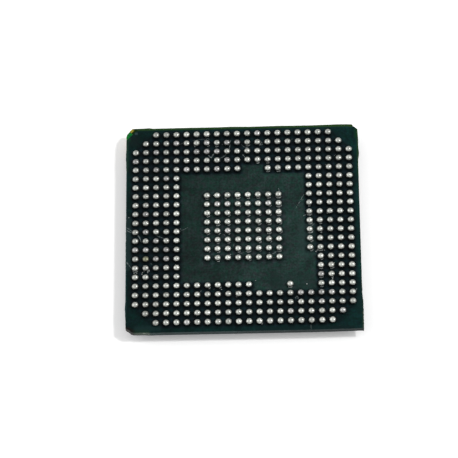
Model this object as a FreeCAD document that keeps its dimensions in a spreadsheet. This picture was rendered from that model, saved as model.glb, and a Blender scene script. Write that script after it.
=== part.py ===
import FreeCAD
import Part
import math
import os
import Sketcher

# A wire-bonded ball grid array package, about 23 mm square, lying on its moulded cap with its balls upwards.
# Millimetres. X runs to the right and Y away from the viewer, with the first-ball corner far left.
# Z is up from the flat face of the cap, which is the origin's plane; the origin is that face's centre.

# Alias, number and meaning of each driving dimension.
SIZES = (
    ("ball_pitch", 1.0, "distance between neighbouring balls"),
    ("ball_sites", 22, "rows of ball sites, and sites in each row"),
    ("outer_rows", 5, "rows of balls in the outer field, on each side"),
    ("centre_rows", 8, "rows of balls in the centre field"),
    ("edge_margin", 1.0, "distance from the outer balls' middles to the board's sides"),
    ("ball_diameter", 0.62, "diameter of a reflowed ball"),
    ("land_diameter", 0.45, "diameter of a ball's foot on its land"),
    ("tip_diameter", 0.42, "flat facet at a ball's tip, which leaves it a round ball's volume"),
    ("ball_sides", 6, "flats round a ball, an even number"),
    ("shoulder_length", 2.6, "length of a shoulder, from the board's corner"),
    ("shoulder_step", 0.07, "how far a side lies back between its shoulders"),
    ("first_cut", 0.78, "legs of the cut at the first ball's corner"),
    ("chip_depth", 0.5, "how far the chipped half of that cut slants in, up to the ball side"),
    ("mark_depth", 0.42, "what the cut left of the plated corner mark, along the diagonal"),
    ("mark_width", 0.62, "width of the corner mark, from the diagonal"),
    ("far_right_cut", 0.52, "legs of the cut at the far right corner"),
    ("far_right_kink", 0.07, "how far the middle of that cut bulges"),
    ("near_left_cut", 0.62, "leg along X of the cut at the near left corner"),
    ("near_left_rise", 0.45, "leg along Y of the same cut"),
    ("mask_thick", 0.03, "solder mask, each side"),
    ("prepreg_thick", 0.1, "outer dielectric layer, each side"),
    ("core_thick", 0.3, "core with its two inner copper sheets"),
    ("sheet_thick", 0.03, "inner copper sheet"),
    ("sheet_setback", 0.5, "distance of the inner copper sheets from the board's edge"),
    ("sheet_corner", 1.2, "corner cut of the inner copper sheets"),
    ("copper_thick", 0.025, "outer copper with its plating"),
    ("cap_rim", 1.75, "strip of the board left bare round the cap"),
    ("cap_height", 1.17, "height of the cap"),
    ("cap_draft", 30.0, "slope of the cap's sides from upright, in degrees"),
    ("cap_corner", 1.1, "corner cut of the cap's flat face"),
    ("gate_corner", 1.9, "corner cut where the compound was let in"),
    ("gate_width", 1.5, "width of the plated strip under the gate"),
    ("dimple_diameter", 1.5, "ejector mark that shows the first ball's corner"),
    ("dimple_depth", 0.08, "depth of that mark"),
    ("dimple_inset", 2.4, "centre of that mark from the sides of the flat face"),
    ("die_size", 7.4, "side of the die"),
    ("die_thick", 0.3, "thickness of the die"),
    ("attach_thick", 0.03, "die-attach adhesive"),
    ("attach_margin", 0.12, "how far the adhesive stands out round the die"),
    ("paddle_margin", 0.4, "how far the copper field under the die stands out round it"),
    ("ring_gap", 0.35, "gap from the paddle to the ground ring, and from ring to ring"),
    ("ring_width", 0.4, "width of the ground ring and of the power ring"),
    ("finger_gap", 1.0, "gap from the power ring to the bond fingers"),
    ("finger_length", 0.9, "length of a bond finger"),
    ("finger_width", 0.16, "width of a bond finger"),
    ("window_margin", 0.7, "from the fingers' outer ends to the edge of the mask's opening"),
    ("window_corner", 3.0, "corner cut of that opening"),
    ("wires_per_side", 5, "bond wires modelled on each side of the die"),
    ("wire_margin", 1.3, "from the die's corner to the first wire's middle"),
    ("wire_thick", 0.03, "thickness and width of a bond wire"),
    ("pad_inset", 0.1, "wire's middle from the die's edge"),
    ("loop_height", 0.2, "height of a wire's loop over the die"),
    ("landing", 0.3, "wire's end from the finger's inner end"),
    ("stitch_length", 0.06, "length of a wire's flat end on the finger"),
)

# The letters that name rows of balls; I, O, Q, S, X and Z aren't used.
ROW_LETTERS = "ABCDEFGHJKLMNPRTUVWY"

# Sites of the outer field that carry no ball, by row letter and number.
BARE_SITES = (
    ("M", 5),
    ("N", 5),
    ("N", 18),
    ("P", 18),
    ("R", 18),
    ("U", 18),
    ("V", 15),
    ("V", 16),
    ("V", 17),
    ("V", 18),
)

# A corner has no ball where its row and its number count less than this together.
CORNER_STEPS = 2

TURNS = {"right": 0, "far": 90, "left": 180, "near": 270}


class Size:
    """A dimension with its number and its formula in the sheet's cells."""

    def __init__(self, formula, number):
        self.formula = formula
        self.number = number

    def joined(self, sign, other, number):
        text = other.formula if isinstance(other, Size) else repr(other)
        return Size(f"({self.formula} {sign} {text})", number)

    def __add__(self, other):
        return self.joined("+", other, self.number + number_of(other))

    def __sub__(self, other):
        return self.joined("-", other, self.number - number_of(other))

    def __mul__(self, other):
        return self.joined("*", other, self.number * number_of(other))

    def __truediv__(self, other):
        return self.joined("/", other, self.number / number_of(other))

    def __neg__(self):
        return Size(f"(-1 * {self.formula})", -self.number)


NOTHING = Size("0", 0.0)

# The growth of a 45-degree corner cut's legs for each unit that the sides round it move out.
CUT_GROWTH = 2 - math.sqrt(2)


def number_of(value):
    return value.number if isinstance(value, Size) else value


def tangent(angle):
    return Size(f"tan({angle.formula} * 1 deg)", math.tan(math.radians(angle.number)))


def square_root(value):
    return Size(f"sqrt({value.formula})", math.sqrt(value.number))


def make_sheet(doc):
    """Writes the driving dimensions into a sheet and returns them as sizes."""
    sheet = doc.addObject("Spreadsheet::Sheet", "Sizes")
    sizes = {}
    for line, (alias, number, meaning) in enumerate(SIZES, 1):
        sheet.set(f"A{line}", alias)
        sheet.set(f"B{line}", str(number))
        sheet.set(f"C{line}", meaning)
        sheet.setAlias(f"B{line}", alias)
    doc.recompute()
    for alias, _, _ in SIZES:
        sizes[alias] = Size(f"Sizes.{alias}", float(sheet.get(alias)))
    return sizes


def add_derived(d):
    """Works out the sizes that follow from the driving ones: the halves are taken from the middle."""
    d["board_half"] = d["ball_pitch"] * (d["ball_sites"] - 1) / 2 + d["edge_margin"]
    d["board_thick"] = d["mask_thick"] * 2 + d["prepreg_thick"] * 2 + d["core_thick"]
    d["cap_half"] = d["board_half"] - d["cap_rim"]
    d["flat_half"] = d["cap_half"] - d["cap_height"] * tangent(d["cap_draft"])
    d["copper_low"] = d["cap_height"] + d["mask_thick"] - d["copper_thick"]
    d["attach_low"] = d["copper_low"] - d["attach_thick"]
    d["die_low"] = d["attach_low"] - d["die_thick"]
    d["die_half"] = d["die_size"] / 2
    d["paddle_half"] = d["die_half"] + d["paddle_margin"]
    d["ground_inner"] = d["paddle_half"] + d["ring_gap"]
    d["power_inner"] = d["ground_inner"] + d["ring_width"] + d["ring_gap"]
    d["finger_start"] = d["power_inner"] + d["ring_width"] + d["finger_gap"]
    d["finger_end"] = d["finger_start"] + d["finger_length"]
    d["window_half"] = d["finger_end"] + d["window_margin"]
    d["first_wire"] = d["die_half"] - d["wire_margin"]


def bind(item, formulas):
    """Ties properties of an object to the sheet."""
    for prop, size in formulas.items():
        item.setExpression(prop, size.formula)


def new_sketch(body, name, offset=None, plane="XY_Plane"):
    """A sketch on one of the body's own planes, or at an offset from it."""
    sketch = body.newObject("Sketcher::SketchObject", name)
    support = [f for f in body.Origin.OriginFeatures if f.Role == plane][0]
    sketch.AttachmentSupport = [(support, "")]
    sketch.MapMode = "FlatFace"
    if offset is not None:
        bind(sketch, {"AttachmentOffset.Base.z": offset})
    return sketch


def draw_outline(sketch, corners):
    """A closed outline of straight lines, each corner tied to its own two sizes."""
    points = [FreeCAD.Vector(x.number, y.number, 0) for x, y in corners]
    first = sketch.GeometryCount
    for start, end in zip(points, points[1:] + points[:1]):
        sketch.addGeometry(Part.LineSegment(start, end), False)
    count = len(points)
    for i in range(count):
        following = first + (i + 1) % count
        sketch.addConstraint(Sketcher.Constraint("Coincident", first + i, 2, following, 1))
    for i, corner in enumerate(corners):
        for kind, size in zip(("DistanceX", "DistanceY"), corner):
            place = sketch.addConstraint(
                Sketcher.Constraint(kind, -1, 1, first + i, 1, size.number)
            )
            sketch.setExpression(f"Constraints[{place}]", size.formula)


def draw_rectangle(sketch, left, right, low, high):
    draw_outline(sketch, [(left, low), (right, low), (right, high), (left, high)])


def draw_square(sketch, half):
    draw_rectangle(sketch, -half, half, -half, half)


def draw_cut_square(sketch, half, cut, far_left_cut):
    """A square with its corners cut at 45 degrees, one of them by its own amount."""
    draw_outline(
        sketch,
        [
            (cut - half, -half),
            (half - cut, -half),
            (half, cut - half),
            (half, half - cut),
            (half - cut, half),
            (far_left_cut - half, half),
            (-half, half - far_left_cut),
            (-half, cut - half),
        ],
    )


def new_body(doc, name):
    body = doc.addObject("PartDesign::Body", name)
    body.AllowCompound = True
    return body


def new_pad(body, sketch, height):
    pad = body.newObject("PartDesign::Pad", sketch.Name + "Pad")
    pad.Profile = sketch
    bind(pad, {"Length": height})
    return pad


def combine(doc, kind, name, base, tool):
    """A Part boolean of two objects: kind is Cut, Common or Fuse."""
    made = doc.addObject(f"Part::{kind}", name)
    made.Base = base
    made.Tool = tool
    return made


def make_blank(doc, d):
    """The board's outline through every layer, as the punch and the breaks at its corners left it."""
    half = d["board_half"]
    side = half - d["shoulder_step"]
    end = half - d["shoulder_length"]
    right_cut = half - d["far_right_cut"]
    kink = half - d["far_right_cut"] / 2 + d["far_right_kink"]
    body = new_body(doc, "Blank")
    sketch = new_sketch(body, "BlankOutline", d["cap_height"])
    draw_outline(
        sketch,
        [
            (d["near_left_cut"] - half, -half),
            (-end, -half),
            (-end, -side),
            (end, -side),
            (end, -half),
            (half, -half),
            (half, -end),
            (side, -end),
            (side, end),
            (half, end),
            (half, right_cut),
            (kink, kink),
            (right_cut, half),
            (end, half),
            (end, side),
            (-end, side),
            (-end, half),
            (d["first_cut"] - half, half),
            (-half, half - d["first_cut"]),
            (-half, end),
            (-side, end),
            (-side, -end),
            (-half, -end),
            (-half, d["near_left_rise"] - half),
        ],
    )
    new_pad(body, sketch, d["board_thick"])
    return combine(doc, "Cut", "ChippedBlank", body, make_chip(doc, d))


def distance_of_cut(half, cut):
    """Distance of a 45-degree corner cut from the middle of a square."""
    return (half + half - cut) / math.sqrt(2)


def make_chip(doc, d):
    """A wedge that takes the slanted chip out of the near half of the first ball's corner.

    Its section stands in the upright plane along the diagonal, and it is turned into place.
    """
    reach = d["board_half"]
    thickness = d["board_thick"]
    low = d["cap_height"]
    high = low + thickness
    outer = distance_of_cut(d["board_half"], d["first_cut"])
    slope = d["chip_depth"] / thickness
    body = new_body(doc, "Chip")
    sketch = new_sketch(body, "ChipSection", plane="XZ_Plane")
    draw_outline(
        sketch,
        [
            (outer, low),
            (outer + reach, low),
            (outer + reach, high + thickness),
            (outer - slope * thickness * 2, high + thickness),
        ],
    )
    pad = new_pad(body, sketch, reach)
    pad.Reversed = True
    turn_to_first_corner(body)
    return body


def turn_to_first_corner(item):
    """Turns what lies along X towards the first ball's corner."""
    item.Placement.Rotation = FreeCAD.Rotation(FreeCAD.Vector(0, 0, 1), 135)


def make_slab(doc, d, name, low, thickness):
    """A plate wider than the board, from a height up."""
    slab = doc.addObject("Part::Box", name)
    reach = d["board_half"] * 2
    bind(
        slab,
        {
            "Length": reach * 2,
            "Width": reach * 2,
            "Height": thickness,
            "Placement.Base.x": -reach,
            "Placement.Base.y": -reach,
            "Placement.Base.z": low,
        },
    )
    return slab


def make_layer(doc, d, blank, name, low, thickness):
    """One layer of the board: the punched blank between two heights."""
    slab = make_slab(doc, d, name + "Slab", low, thickness)
    return combine(doc, "Common", name, blank, slab)


def make_inner_sheet(doc, d, name, low):
    """A ground or power sheet, whose outline stays back from the board's edge."""
    body = new_body(doc, name)
    half = d["board_half"] - d["sheet_setback"]
    sketch = new_sketch(body, name + "Outline", low)
    draw_cut_square(sketch, half, d["sheet_corner"], d["sheet_corner"])
    new_pad(body, sketch, d["sheet_thick"])
    return body


def make_board(doc, d):
    """The layers of the board and the two copper sheets in it, as {node: object}."""
    blank = make_blank(doc, d)
    mask_low = d["cap_height"]
    lower_low = mask_low + d["mask_thick"]
    core_low = lower_low + d["prepreg_thick"]
    upper_low = core_low + d["core_thick"]
    ball_mask_low = upper_low + d["prepreg_thick"]
    window = make_window(doc, d, mask_low, d["mask_thick"])
    die_mask = make_layer(doc, d, blank, "DieMaskLayer", mask_low, d["mask_thick"])
    opened = combine(doc, "Cut", "DieMaskOpened", die_mask, window)
    power = make_inner_sheet(doc, d, "PowerSheet", core_low)
    ground = make_inner_sheet(doc, d, "GroundSheet", upper_low - d["sheet_thick"])
    core = make_layer(doc, d, blank, "CoreLayer", core_low, d["core_thick"])
    core_low_side = combine(doc, "Cut", "CorePowerPocket", core, power)
    slot = make_gate_bar(doc, d, "GateSlot", mask_low, d["mask_thick"])
    ball_mask = make_layer(doc, d, blank, "BallMaskLayer", ball_mask_low, d["mask_thick"])
    mark_window = make_mark_bar(doc, d, "MarkWindow", ball_mask_low, d["mask_thick"])
    return {
        "solder_mask_die_side": combine(doc, "Cut", "DieMask", opened, slot),
        "gate_strip": make_gate_strip(doc, d, blank),
        "prepreg_die_side": make_layer(
            doc, d, blank, "DiePrepreg", lower_low, d["prepreg_thick"]
        ),
        "power_sheet": power,
        "core": combine(doc, "Cut", "Core", core_low_side, ground),
        "ground_sheet": ground,
        "prepreg_ball_side": make_layer(
            doc, d, blank, "BallPrepreg", upper_low, d["prepreg_thick"]
        ),
        "solder_mask_ball_side": combine(doc, "Cut", "BallMask", ball_mask, mark_window),
        "corner_mark": make_corner_mark(doc, d, blank, ball_mask_low),
    }


def make_window(doc, d, low, thickness):
    """The block that fills the mask's opening round the die."""
    body = new_body(doc, "Window")
    sketch = new_sketch(body, "WindowOutline", low)
    draw_cut_square(sketch, d["window_half"], d["window_corner"], d["window_corner"])
    new_pad(body, sketch, thickness)
    return body


def make_diagonal_bar(doc, name, start, right, left, low, thickness, reach):
    """A bar along the first ball's diagonal, from a distance out, between its two sides."""
    body = new_body(doc, name)
    sketch = new_sketch(body, name + "Outline", low)
    draw_rectangle(sketch, start, reach, right, left)
    new_pad(body, sketch, thickness)
    turn_to_first_corner(body)
    return body


def make_gate_bar(doc, d, name, low, thickness):
    """The bar that holds the gate strip, from the cap's corner to past the board's."""
    cut_at_board = d["gate_corner"] + (d["cap_half"] - d["flat_half"]) * CUT_GROWTH
    start = distance_of_cut(d["cap_half"], cut_at_board)
    half = d["gate_width"] / 2
    reach = d["board_half"] * 2
    return make_diagonal_bar(doc, name, start, -half, half, low, thickness, reach)


def make_gate_strip(doc, d, blank):
    """The plated strip that the compound ran in over, cut off with the board's corner."""
    bar = make_gate_bar(doc, d, "GateBar", d["copper_low"], d["copper_thick"])
    return combine(doc, "Common", "GateStrip", blank, bar)


def make_mark_bar(doc, d, name, low, thickness):
    """The bar that holds the corner mark, on the far side of the diagonal."""
    inner = distance_of_cut(d["board_half"], d["first_cut"]) - d["mark_depth"]
    reach = d["board_half"] * 2
    return make_diagonal_bar(doc, name, inner, -d["mark_width"], NOTHING, low, thickness, reach)


def make_corner_mark(doc, d, blank, low):
    """What is left of the plated copper that marks the first ball's corner."""
    bar = make_mark_bar(doc, d, "MarkBar", low, d["copper_thick"])
    return combine(doc, "Common", "CornerMark", blank, bar)


def make_square_ring(doc, name, low, thickness, inner, width):
    """A square ring of copper: inner is half of its opening."""
    body = new_body(doc, name)
    sketch = new_sketch(body, name + "Outline", low)
    draw_square(sketch, inner + width)
    draw_square(sketch, inner)
    new_pad(body, sketch, thickness)
    return body


def make_plate(doc, name, low, thickness, half):
    """A square plate."""
    body = new_body(doc, name)
    sketch = new_sketch(body, name + "Outline", low)
    draw_square(sketch, half)
    new_pad(body, sketch, thickness)
    return body


def make_die_stack(doc, d):
    """The copper under the die, the adhesive, the die and the two rings round them."""
    low = d["copper_low"]
    copper = d["copper_thick"]
    width = d["ring_width"]
    attach_half = d["die_half"] + d["attach_margin"]
    return {
        "die_paddle": make_plate(doc, "Paddle", low, copper, d["paddle_half"]),
        "ground_ring": make_square_ring(doc, "GroundRing", low, copper, d["ground_inner"], width),
        "power_ring": make_square_ring(doc, "PowerRing", low, copper, d["power_inner"], width),
        "die_attach": make_plate(doc, "Attach", d["attach_low"], d["attach_thick"], attach_half),
        "die": make_plate(doc, "Die", d["die_low"], d["die_thick"], d["die_half"]),
    }


def repeat_along_side(body, pad, sketch, axis, d):
    """Copies a finger or a wire along its side of the die, from the first one to its mirror place."""
    pattern = body.newObject("PartDesign::LinearPattern", pad.Name + "Row")
    pattern.Originals = [pad]
    pattern.Direction = (sketch, [axis])
    bind(pattern, {"Length": d["first_wire"] * 2, "Occurrences": d["wires_per_side"]})
    body.Tip = pattern
    return pattern


def turn_to_side(item, side):
    """Turns what lies on the right side of the die to another side."""
    item.Placement.Rotation = FreeCAD.Rotation(FreeCAD.Vector(0, 0, 1), TURNS[side])


def make_fingers(doc, d, side):
    """The plated fingers of one side, on which its wires end."""
    near = -d["first_wire"]
    half = d["finger_width"] / 2
    body = new_body(doc, "Fingers" + side.title())
    sketch = new_sketch(body, "Finger" + side.title(), d["copper_low"])
    draw_rectangle(sketch, d["finger_start"], d["finger_end"], near - half, near + half)
    pad = new_pad(body, sketch, d["copper_thick"])
    repeat_along_side(body, pad, sketch, "V_Axis", d)
    turn_to_side(body, side)
    return body


def make_wires(doc, d, side):
    """The bond wires of one side: up from the die, over in a loop and down to the fingers."""
    half = d["wire_thick"] / 2
    start = d["die_half"] - d["pad_inset"]
    loop = d["die_low"] - d["loop_height"]
    foot = d["finger_start"] + d["landing"]
    stitch = d["stitch_length"] / 2
    body = new_body(doc, "Wires" + side.title())
    sketch = new_sketch(body, "Wire" + side.title(), d["first_wire"], "XZ_Plane")
    draw_outline(
        sketch,
        [
            (start - half, d["die_low"]),
            (start - half, loop),
            (foot + stitch, d["copper_low"]),
            (foot - stitch, d["copper_low"]),
            (start + half, loop + d["wire_thick"]),
            (start + half, d["die_low"]),
        ],
    )
    pad = new_pad(body, sketch, d["wire_thick"])
    pad.Midplane = True
    repeat_along_side(body, pad, sketch, "N_Axis", d).Reversed = True
    turn_to_side(body, side)
    return body


def add_draft(body, pad, angle):
    """Slopes a pad's upright sides outwards from its own foot."""
    upright = [
        f"Face{i}" for i, face in enumerate(pad.Shape.Faces, 1) if abs(face.normalAt(0, 0).z) < 0.5
    ]
    draft = body.newObject("PartDesign::Draft", pad.Name + "Draft")
    draft.Base = (pad, upright)
    draft.NeutralPlane = ([f for f in body.Origin.OriginFeatures if f.Role == "XY_Plane"][0], [""])
    draft.Reversed = True
    bind(draft, {"Angle": angle})


def make_cap(doc, d, contents):
    """The moulded cap, with the hollow that its contents leave in the compound."""
    body = new_body(doc, "Cap")
    sketch = new_sketch(body, "CapFlat")
    draw_cut_square(sketch, d["flat_half"], d["cap_corner"], d["gate_corner"])
    pad = new_pad(body, sketch, d["cap_height"])
    doc.recompute()
    add_draft(body, pad, d["cap_draft"])
    plug = new_sketch(body, "PlugOutline", d["cap_height"])
    draw_cut_square(plug, d["window_half"], d["window_corner"], d["window_corner"])
    new_pad(body, plug, d["mask_thick"])
    inset = d["flat_half"] - d["dimple_inset"]
    mark = new_sketch(body, "MarkCircle")
    circle = Part.Circle(FreeCAD.Vector(-inset.number, inset.number, 0), FreeCAD.Vector(0, 0, 1), 1)
    mark.addGeometry(circle, False)
    for kind, size in (("DistanceX", -inset), ("DistanceY", inset)):
        place = mark.addConstraint(Sketcher.Constraint(kind, -1, 1, 0, 3, size.number))
        mark.setExpression(f"Constraints[{place}]", size.formula)
    place = mark.addConstraint(Sketcher.Constraint("Diameter", 0, d["dimple_diameter"].number))
    mark.setExpression(f"Constraints[{place}]", d["dimple_diameter"].formula)
    pocket = body.newObject("PartDesign::Pocket", "MarkPocket")
    pocket.Profile = mark
    pocket.Reversed = True
    bind(pocket, {"Length": d["dimple_depth"]})
    filling = doc.addObject("Part::MultiFuse", "Contents")
    filling.Shapes = contents
    return combine(doc, "Cut", "MouldedCap", body, filling)


def make_ball(doc, d):
    """One solder ball on its land, faceted: flats that widen to its belt and close in to its tip.

    It is what prisms of the ball's profile, turned against each other, have in common.
    """
    radius = d["ball_diameter"] / 2
    foot = d["land_diameter"] / 2
    tip = d["tip_diameter"] / 2
    belt = square_root(radius * radius - foot * foot)
    top = belt + radius
    sides = round(d["ball_sides"].number)
    half_turn = Size(f"(180 deg / {d['ball_sides'].formula})", math.pi / sides)
    flat = Size(
        f"sqrt({half_turn.formula} / 1 rad / tan({half_turn.formula}))",
        math.sqrt(half_turn.number / math.tan(half_turn.number)),
    )
    profile = [
        (-(foot * flat), NOTHING),
        (foot * flat, NOTHING),
        (radius * flat, belt),
        (tip * flat, top),
        (-(tip * flat), top),
        (-(radius * flat), belt),
    ]
    prisms = []
    for i in range(sides // 2):
        body = new_body(doc, f"BallPrism{i}")
        sketch = new_sketch(body, f"BallProfile{i}", plane="XZ_Plane")
        draw_outline(sketch, profile)
        new_pad(body, sketch, d["ball_diameter"] * 2).Midplane = True
        bind(body, {"Placement.Rotation.Angle": half_turn * 2 * i})
        prisms.append(body)
    ball = doc.addObject("Part::MultiCommon", "Ball")
    ball.Shapes = prisms
    return ball


def row_name(index):
    """A to Y, then AA and on."""
    count = len(ROW_LETTERS)
    if index < count:
        return ROW_LETTERS[index]
    return ROW_LETTERS[index // count - 1] + ROW_LETTERS[index % count]


def has_ball(row, number, d):
    """Whether the site in this row and at this number, both counted from 0, carries a ball."""
    sites = round(d["ball_sites"].number)
    outer = round(d["outer_rows"].number)
    centre = round(d["centre_rows"].number)
    from_side = min(row, sites - 1 - row)
    from_end = min(number, sites - 1 - number)
    if min(from_side, from_end) < outer:
        bare = (row_name(row), number + 1) in BARE_SITES
        return from_side + from_end >= CORNER_STEPS and not bare
    first = (sites - centre) // 2
    return first <= row < first + centre and first <= number < first + centre


def make_ball_rows(doc, d, ball):
    """A compound of balls for each lettered row, from left to right; numbers run towards the viewer."""
    sites = round(d["ball_sites"].number)
    pitch = d["ball_pitch"].number
    first = pitch * (sites - 1) / 2
    seat = d["cap_height"] + d["board_thick"]
    made = {}
    for row in range(sites):
        places = [
            FreeCAD.Vector(0, first - number * pitch, 0)
            for number in range(sites)
            if has_ball(row, number, d)
        ]
        line = doc.addObject("Part::Feature", "BallRow" + row_name(row))
        line.Shape = Part.makeCompound([ball.Shape.translated(place) for place in places])
        line.Placement.Base = FreeCAD.Vector(row * pitch - first, 0, seat.number)
        made["balls_row_" + row_name(row).lower()] = line
    return made


def check_and_export(doc, nodes):
    """Stops on a failed object or shape, then writes one file for each node."""
    failed = [o.Name for o in doc.Objects if {"Invalid", "Error"} & set(o.State)]
    if failed:
        raise RuntimeError(f"these objects failed: {failed}")
    for name, item in nodes.items():
        shape = item.Shape
        if shape.isNull() or not shape.isValid() or not shape.Solids:
            raise RuntimeError(f"{name} has no sound shape")
    os.makedirs("parts", exist_ok=True)
    for name, item in nodes.items():
        item.Label = name
        item.Shape.exportStep(os.path.join("parts", name + ".step"))


def main():
    doc = FreeCAD.newDocument("BallGridPackage")
    d = make_sheet(doc)
    add_derived(d)
    nodes = make_board(doc, d)
    inside = make_die_stack(doc, d)
    for side in TURNS:
        inside["bond_fingers_" + side] = make_fingers(doc, d, side)
        inside["bond_wires_" + side] = make_wires(doc, d, side)
    nodes.update(inside)
    nodes["mould_cap"] = make_cap(doc, d, list(inside.values()))
    ball = make_ball(doc, d)
    doc.recompute()
    nodes.update(make_ball_rows(doc, d, ball))
    doc.recompute()
    check_and_export(doc, nodes)


main()
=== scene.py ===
"""A ball grid array chip, lying on its moulded cap with its solder balls upwards.

Lengths are in millimetres and become metres when a mesh is made. X runs to the right,
Y away from the viewer and Z up from the flat face of the cap.
"""

import logging
import math
import random
from dataclasses import dataclass
from enum import Enum
from typing import Callable

import bpy
from bpy.types import Material, Node, NodeSocket, NodeTree, Object
from mathutils import Matrix, Vector, noise


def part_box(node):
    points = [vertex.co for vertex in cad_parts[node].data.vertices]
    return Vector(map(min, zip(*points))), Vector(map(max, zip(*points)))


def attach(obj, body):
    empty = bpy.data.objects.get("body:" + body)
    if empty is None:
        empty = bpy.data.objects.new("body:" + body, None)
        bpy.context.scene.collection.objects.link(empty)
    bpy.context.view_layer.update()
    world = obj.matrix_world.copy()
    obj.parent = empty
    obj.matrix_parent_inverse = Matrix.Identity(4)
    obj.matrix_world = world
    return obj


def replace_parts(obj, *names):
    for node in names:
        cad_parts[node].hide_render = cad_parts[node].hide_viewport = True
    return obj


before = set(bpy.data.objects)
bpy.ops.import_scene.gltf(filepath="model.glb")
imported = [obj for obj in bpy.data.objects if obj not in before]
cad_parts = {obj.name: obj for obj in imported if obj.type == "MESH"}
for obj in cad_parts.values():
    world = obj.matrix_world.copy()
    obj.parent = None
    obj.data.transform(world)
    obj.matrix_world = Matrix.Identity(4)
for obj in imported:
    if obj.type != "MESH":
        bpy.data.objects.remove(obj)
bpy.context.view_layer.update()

Colour = tuple[float, float, float]
# A point is a place on the board, or two levels or places between which something changes.
Point = tuple[float, float]
Spot = tuple[float, float, float]
# A box is the left, near, right and far side of a rectangle on the board.
Box = tuple[float, float, float, float]
# A grain is the size of noise in millimetres, then how many finer layers it has and how strong they are.
Grain = tuple[float, ...]
# A bump is a grain and its depth in millimetres.
Bump = tuple[Grain, float]

MM = 0.001
BODY = "root"
SITE_COUNT = 22
PITCH = 1.0
FIRST_SITE = -PITCH * (SITE_COUNT - 1) / 2
ROW_NAMES = tuple("a b c d e f g h j k l m n p r t u v w y aa ab".split())
WHITE: Colour = (1.0, 1.0, 1.0)

# Levels of the noise between which a cloud fades in, softly or more firmly.
SOFT: Point = (0.3, 0.7)
FIRM: Point = (0.35, 0.65)
# The share of a speck's radius inside which it is full.
SPECK_CORE = 0.6
# What is added to places on the board, so that none of them is below nothing, and the middle of a cell.
GRID_SHIFT = 100.0
CELL_MIDDLE: Spot = (0.5, 0.5, 0.0)
# The noise by which a ragged border wanders, and what brings it to the width that is asked for.
RAGGED_GRAIN: Grain = (0.22, 3.0, 0.6)
RAGGED_REACH = 4.0

log = logging.getLogger("chip")


class Slot(Enum):
    """The record's material slots, one of which each new piece is passed."""

    BALL = "solder_ball"
    MASK = "solder_mask"
    LAMINATE = "laminate"
    PLATED = "plated_copper"
    MOULD = "mould_compound"


class BallState(Enum):
    """How a solder ball looks after its time in use."""

    CLEAN = 0
    DULL = 1
    YELLOWED = 2
    PITTED = 3


def top_of(node: str) -> float:
    """Height of a CAD node's top, in millimetres."""
    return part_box(node)[1].z / MM


def bottom_of(node: str) -> float:
    """Height of a CAD node's underside, in millimetres."""
    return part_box(node)[0].z / MM


def around(x: float, y: float, reaches: list[float]) -> list[Point]:
    """Points evenly round a place, against the clock from the right.

    Args:
        x: The place along X.
        y: The place along Y.
        reaches: Distance of each point from the place.

    Returns:
        The points.
    """
    turns = [2.0 * math.pi * i / len(reaches) for i in range(len(reaches))]
    return [(x + reach * math.cos(turn), y + reach * math.sin(turn)) for reach, turn in zip(reaches, turns)]


def put_in_scene(name: str, data: bpy.types.ID) -> Object:
    """Makes an object from its data and puts it in the scene.

    Args:
        name: Name of the object.
        data: Its mesh, light or camera.

    Returns:
        The new object.
    """
    made = bpy.data.objects.new(name, data)
    bpy.context.scene.collection.objects.link(made)
    return made


BALL_SEAT = top_of("solder_mask_ball_side")
DIE_SIDE = bottom_of("solder_mask_die_side")

COPPER_SHEET: tuple[Box, ...] = (
    (-6.0, -6.0, 6.0, 6.0),
    (0.0, 5.0, 2.0, 7.0),
    (5.0, -7.0, 7.0, -3.0),
    (1.0, -7.0, 6.0, -5.0),
)


class Nodes:
    """A tree of nodes, with short ways to add to it."""

    def __init__(self, tree: NodeTree) -> None:
        """Takes the tree to add to.

        Args:
            tree: A material's or the world's nodes.
        """
        self.tree = tree

    def feed(self, socket: NodeSocket, value: object) -> None:
        """Gives a socket a number, a colour or the output of another node.

        Args:
            socket: The input to set.
            value: A number, a tuple or a socket.
        """
        if isinstance(value, NodeSocket):
            self.tree.links.new(value, socket)
        elif isinstance(value, tuple) and len(value) == 3 and socket.type == "RGBA":
            socket.default_value = (*value, 1.0)
        else:
            socket.default_value = value

    def add(self, kind: str, inputs: dict[str | int, object] | None = None, **settings: object) -> Node:
        """Adds a node, sets its options and feeds its inputs.

        Args:
            kind: Blender's name for the kind of node.
            inputs: What its inputs get, by their name or number.
            **settings: Options of the node, by name.

        Returns:
            The new node.
        """
        made = self.tree.nodes.new(kind)
        for name, value in settings.items():
            setattr(made, name, value)
        for key, value in (inputs or {}).items():
            self.feed(made.inputs[key], value)
        return made

    def maths(self, operation: str, *values: object) -> NodeSocket:
        """One sum on up to three numbers or sockets, by Blender's name for the sum."""
        return self.add("ShaderNodeMath", dict(enumerate(values)), operation=operation).outputs[0]

    def times(self, first: object, second: object) -> NodeSocket:
        """One number times another."""
        return self.maths("MULTIPLY", first, second)

    def vector(self, operation: str, *values: object) -> NodeSocket:
        """One sum on vectors whose result is a vector, by Blender's name for the sum."""
        return self.add("ShaderNodeVectorMath", dict(enumerate(values)), operation=operation).outputs[0]

    def reach(self, operation: str, *values: object) -> NodeSocket:
        """One sum on vectors whose result is a number, by Blender's name for the sum."""
        made = self.add("ShaderNodeVectorMath", dict(enumerate(values)), operation=operation)
        return made.outputs["Value"]


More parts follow.
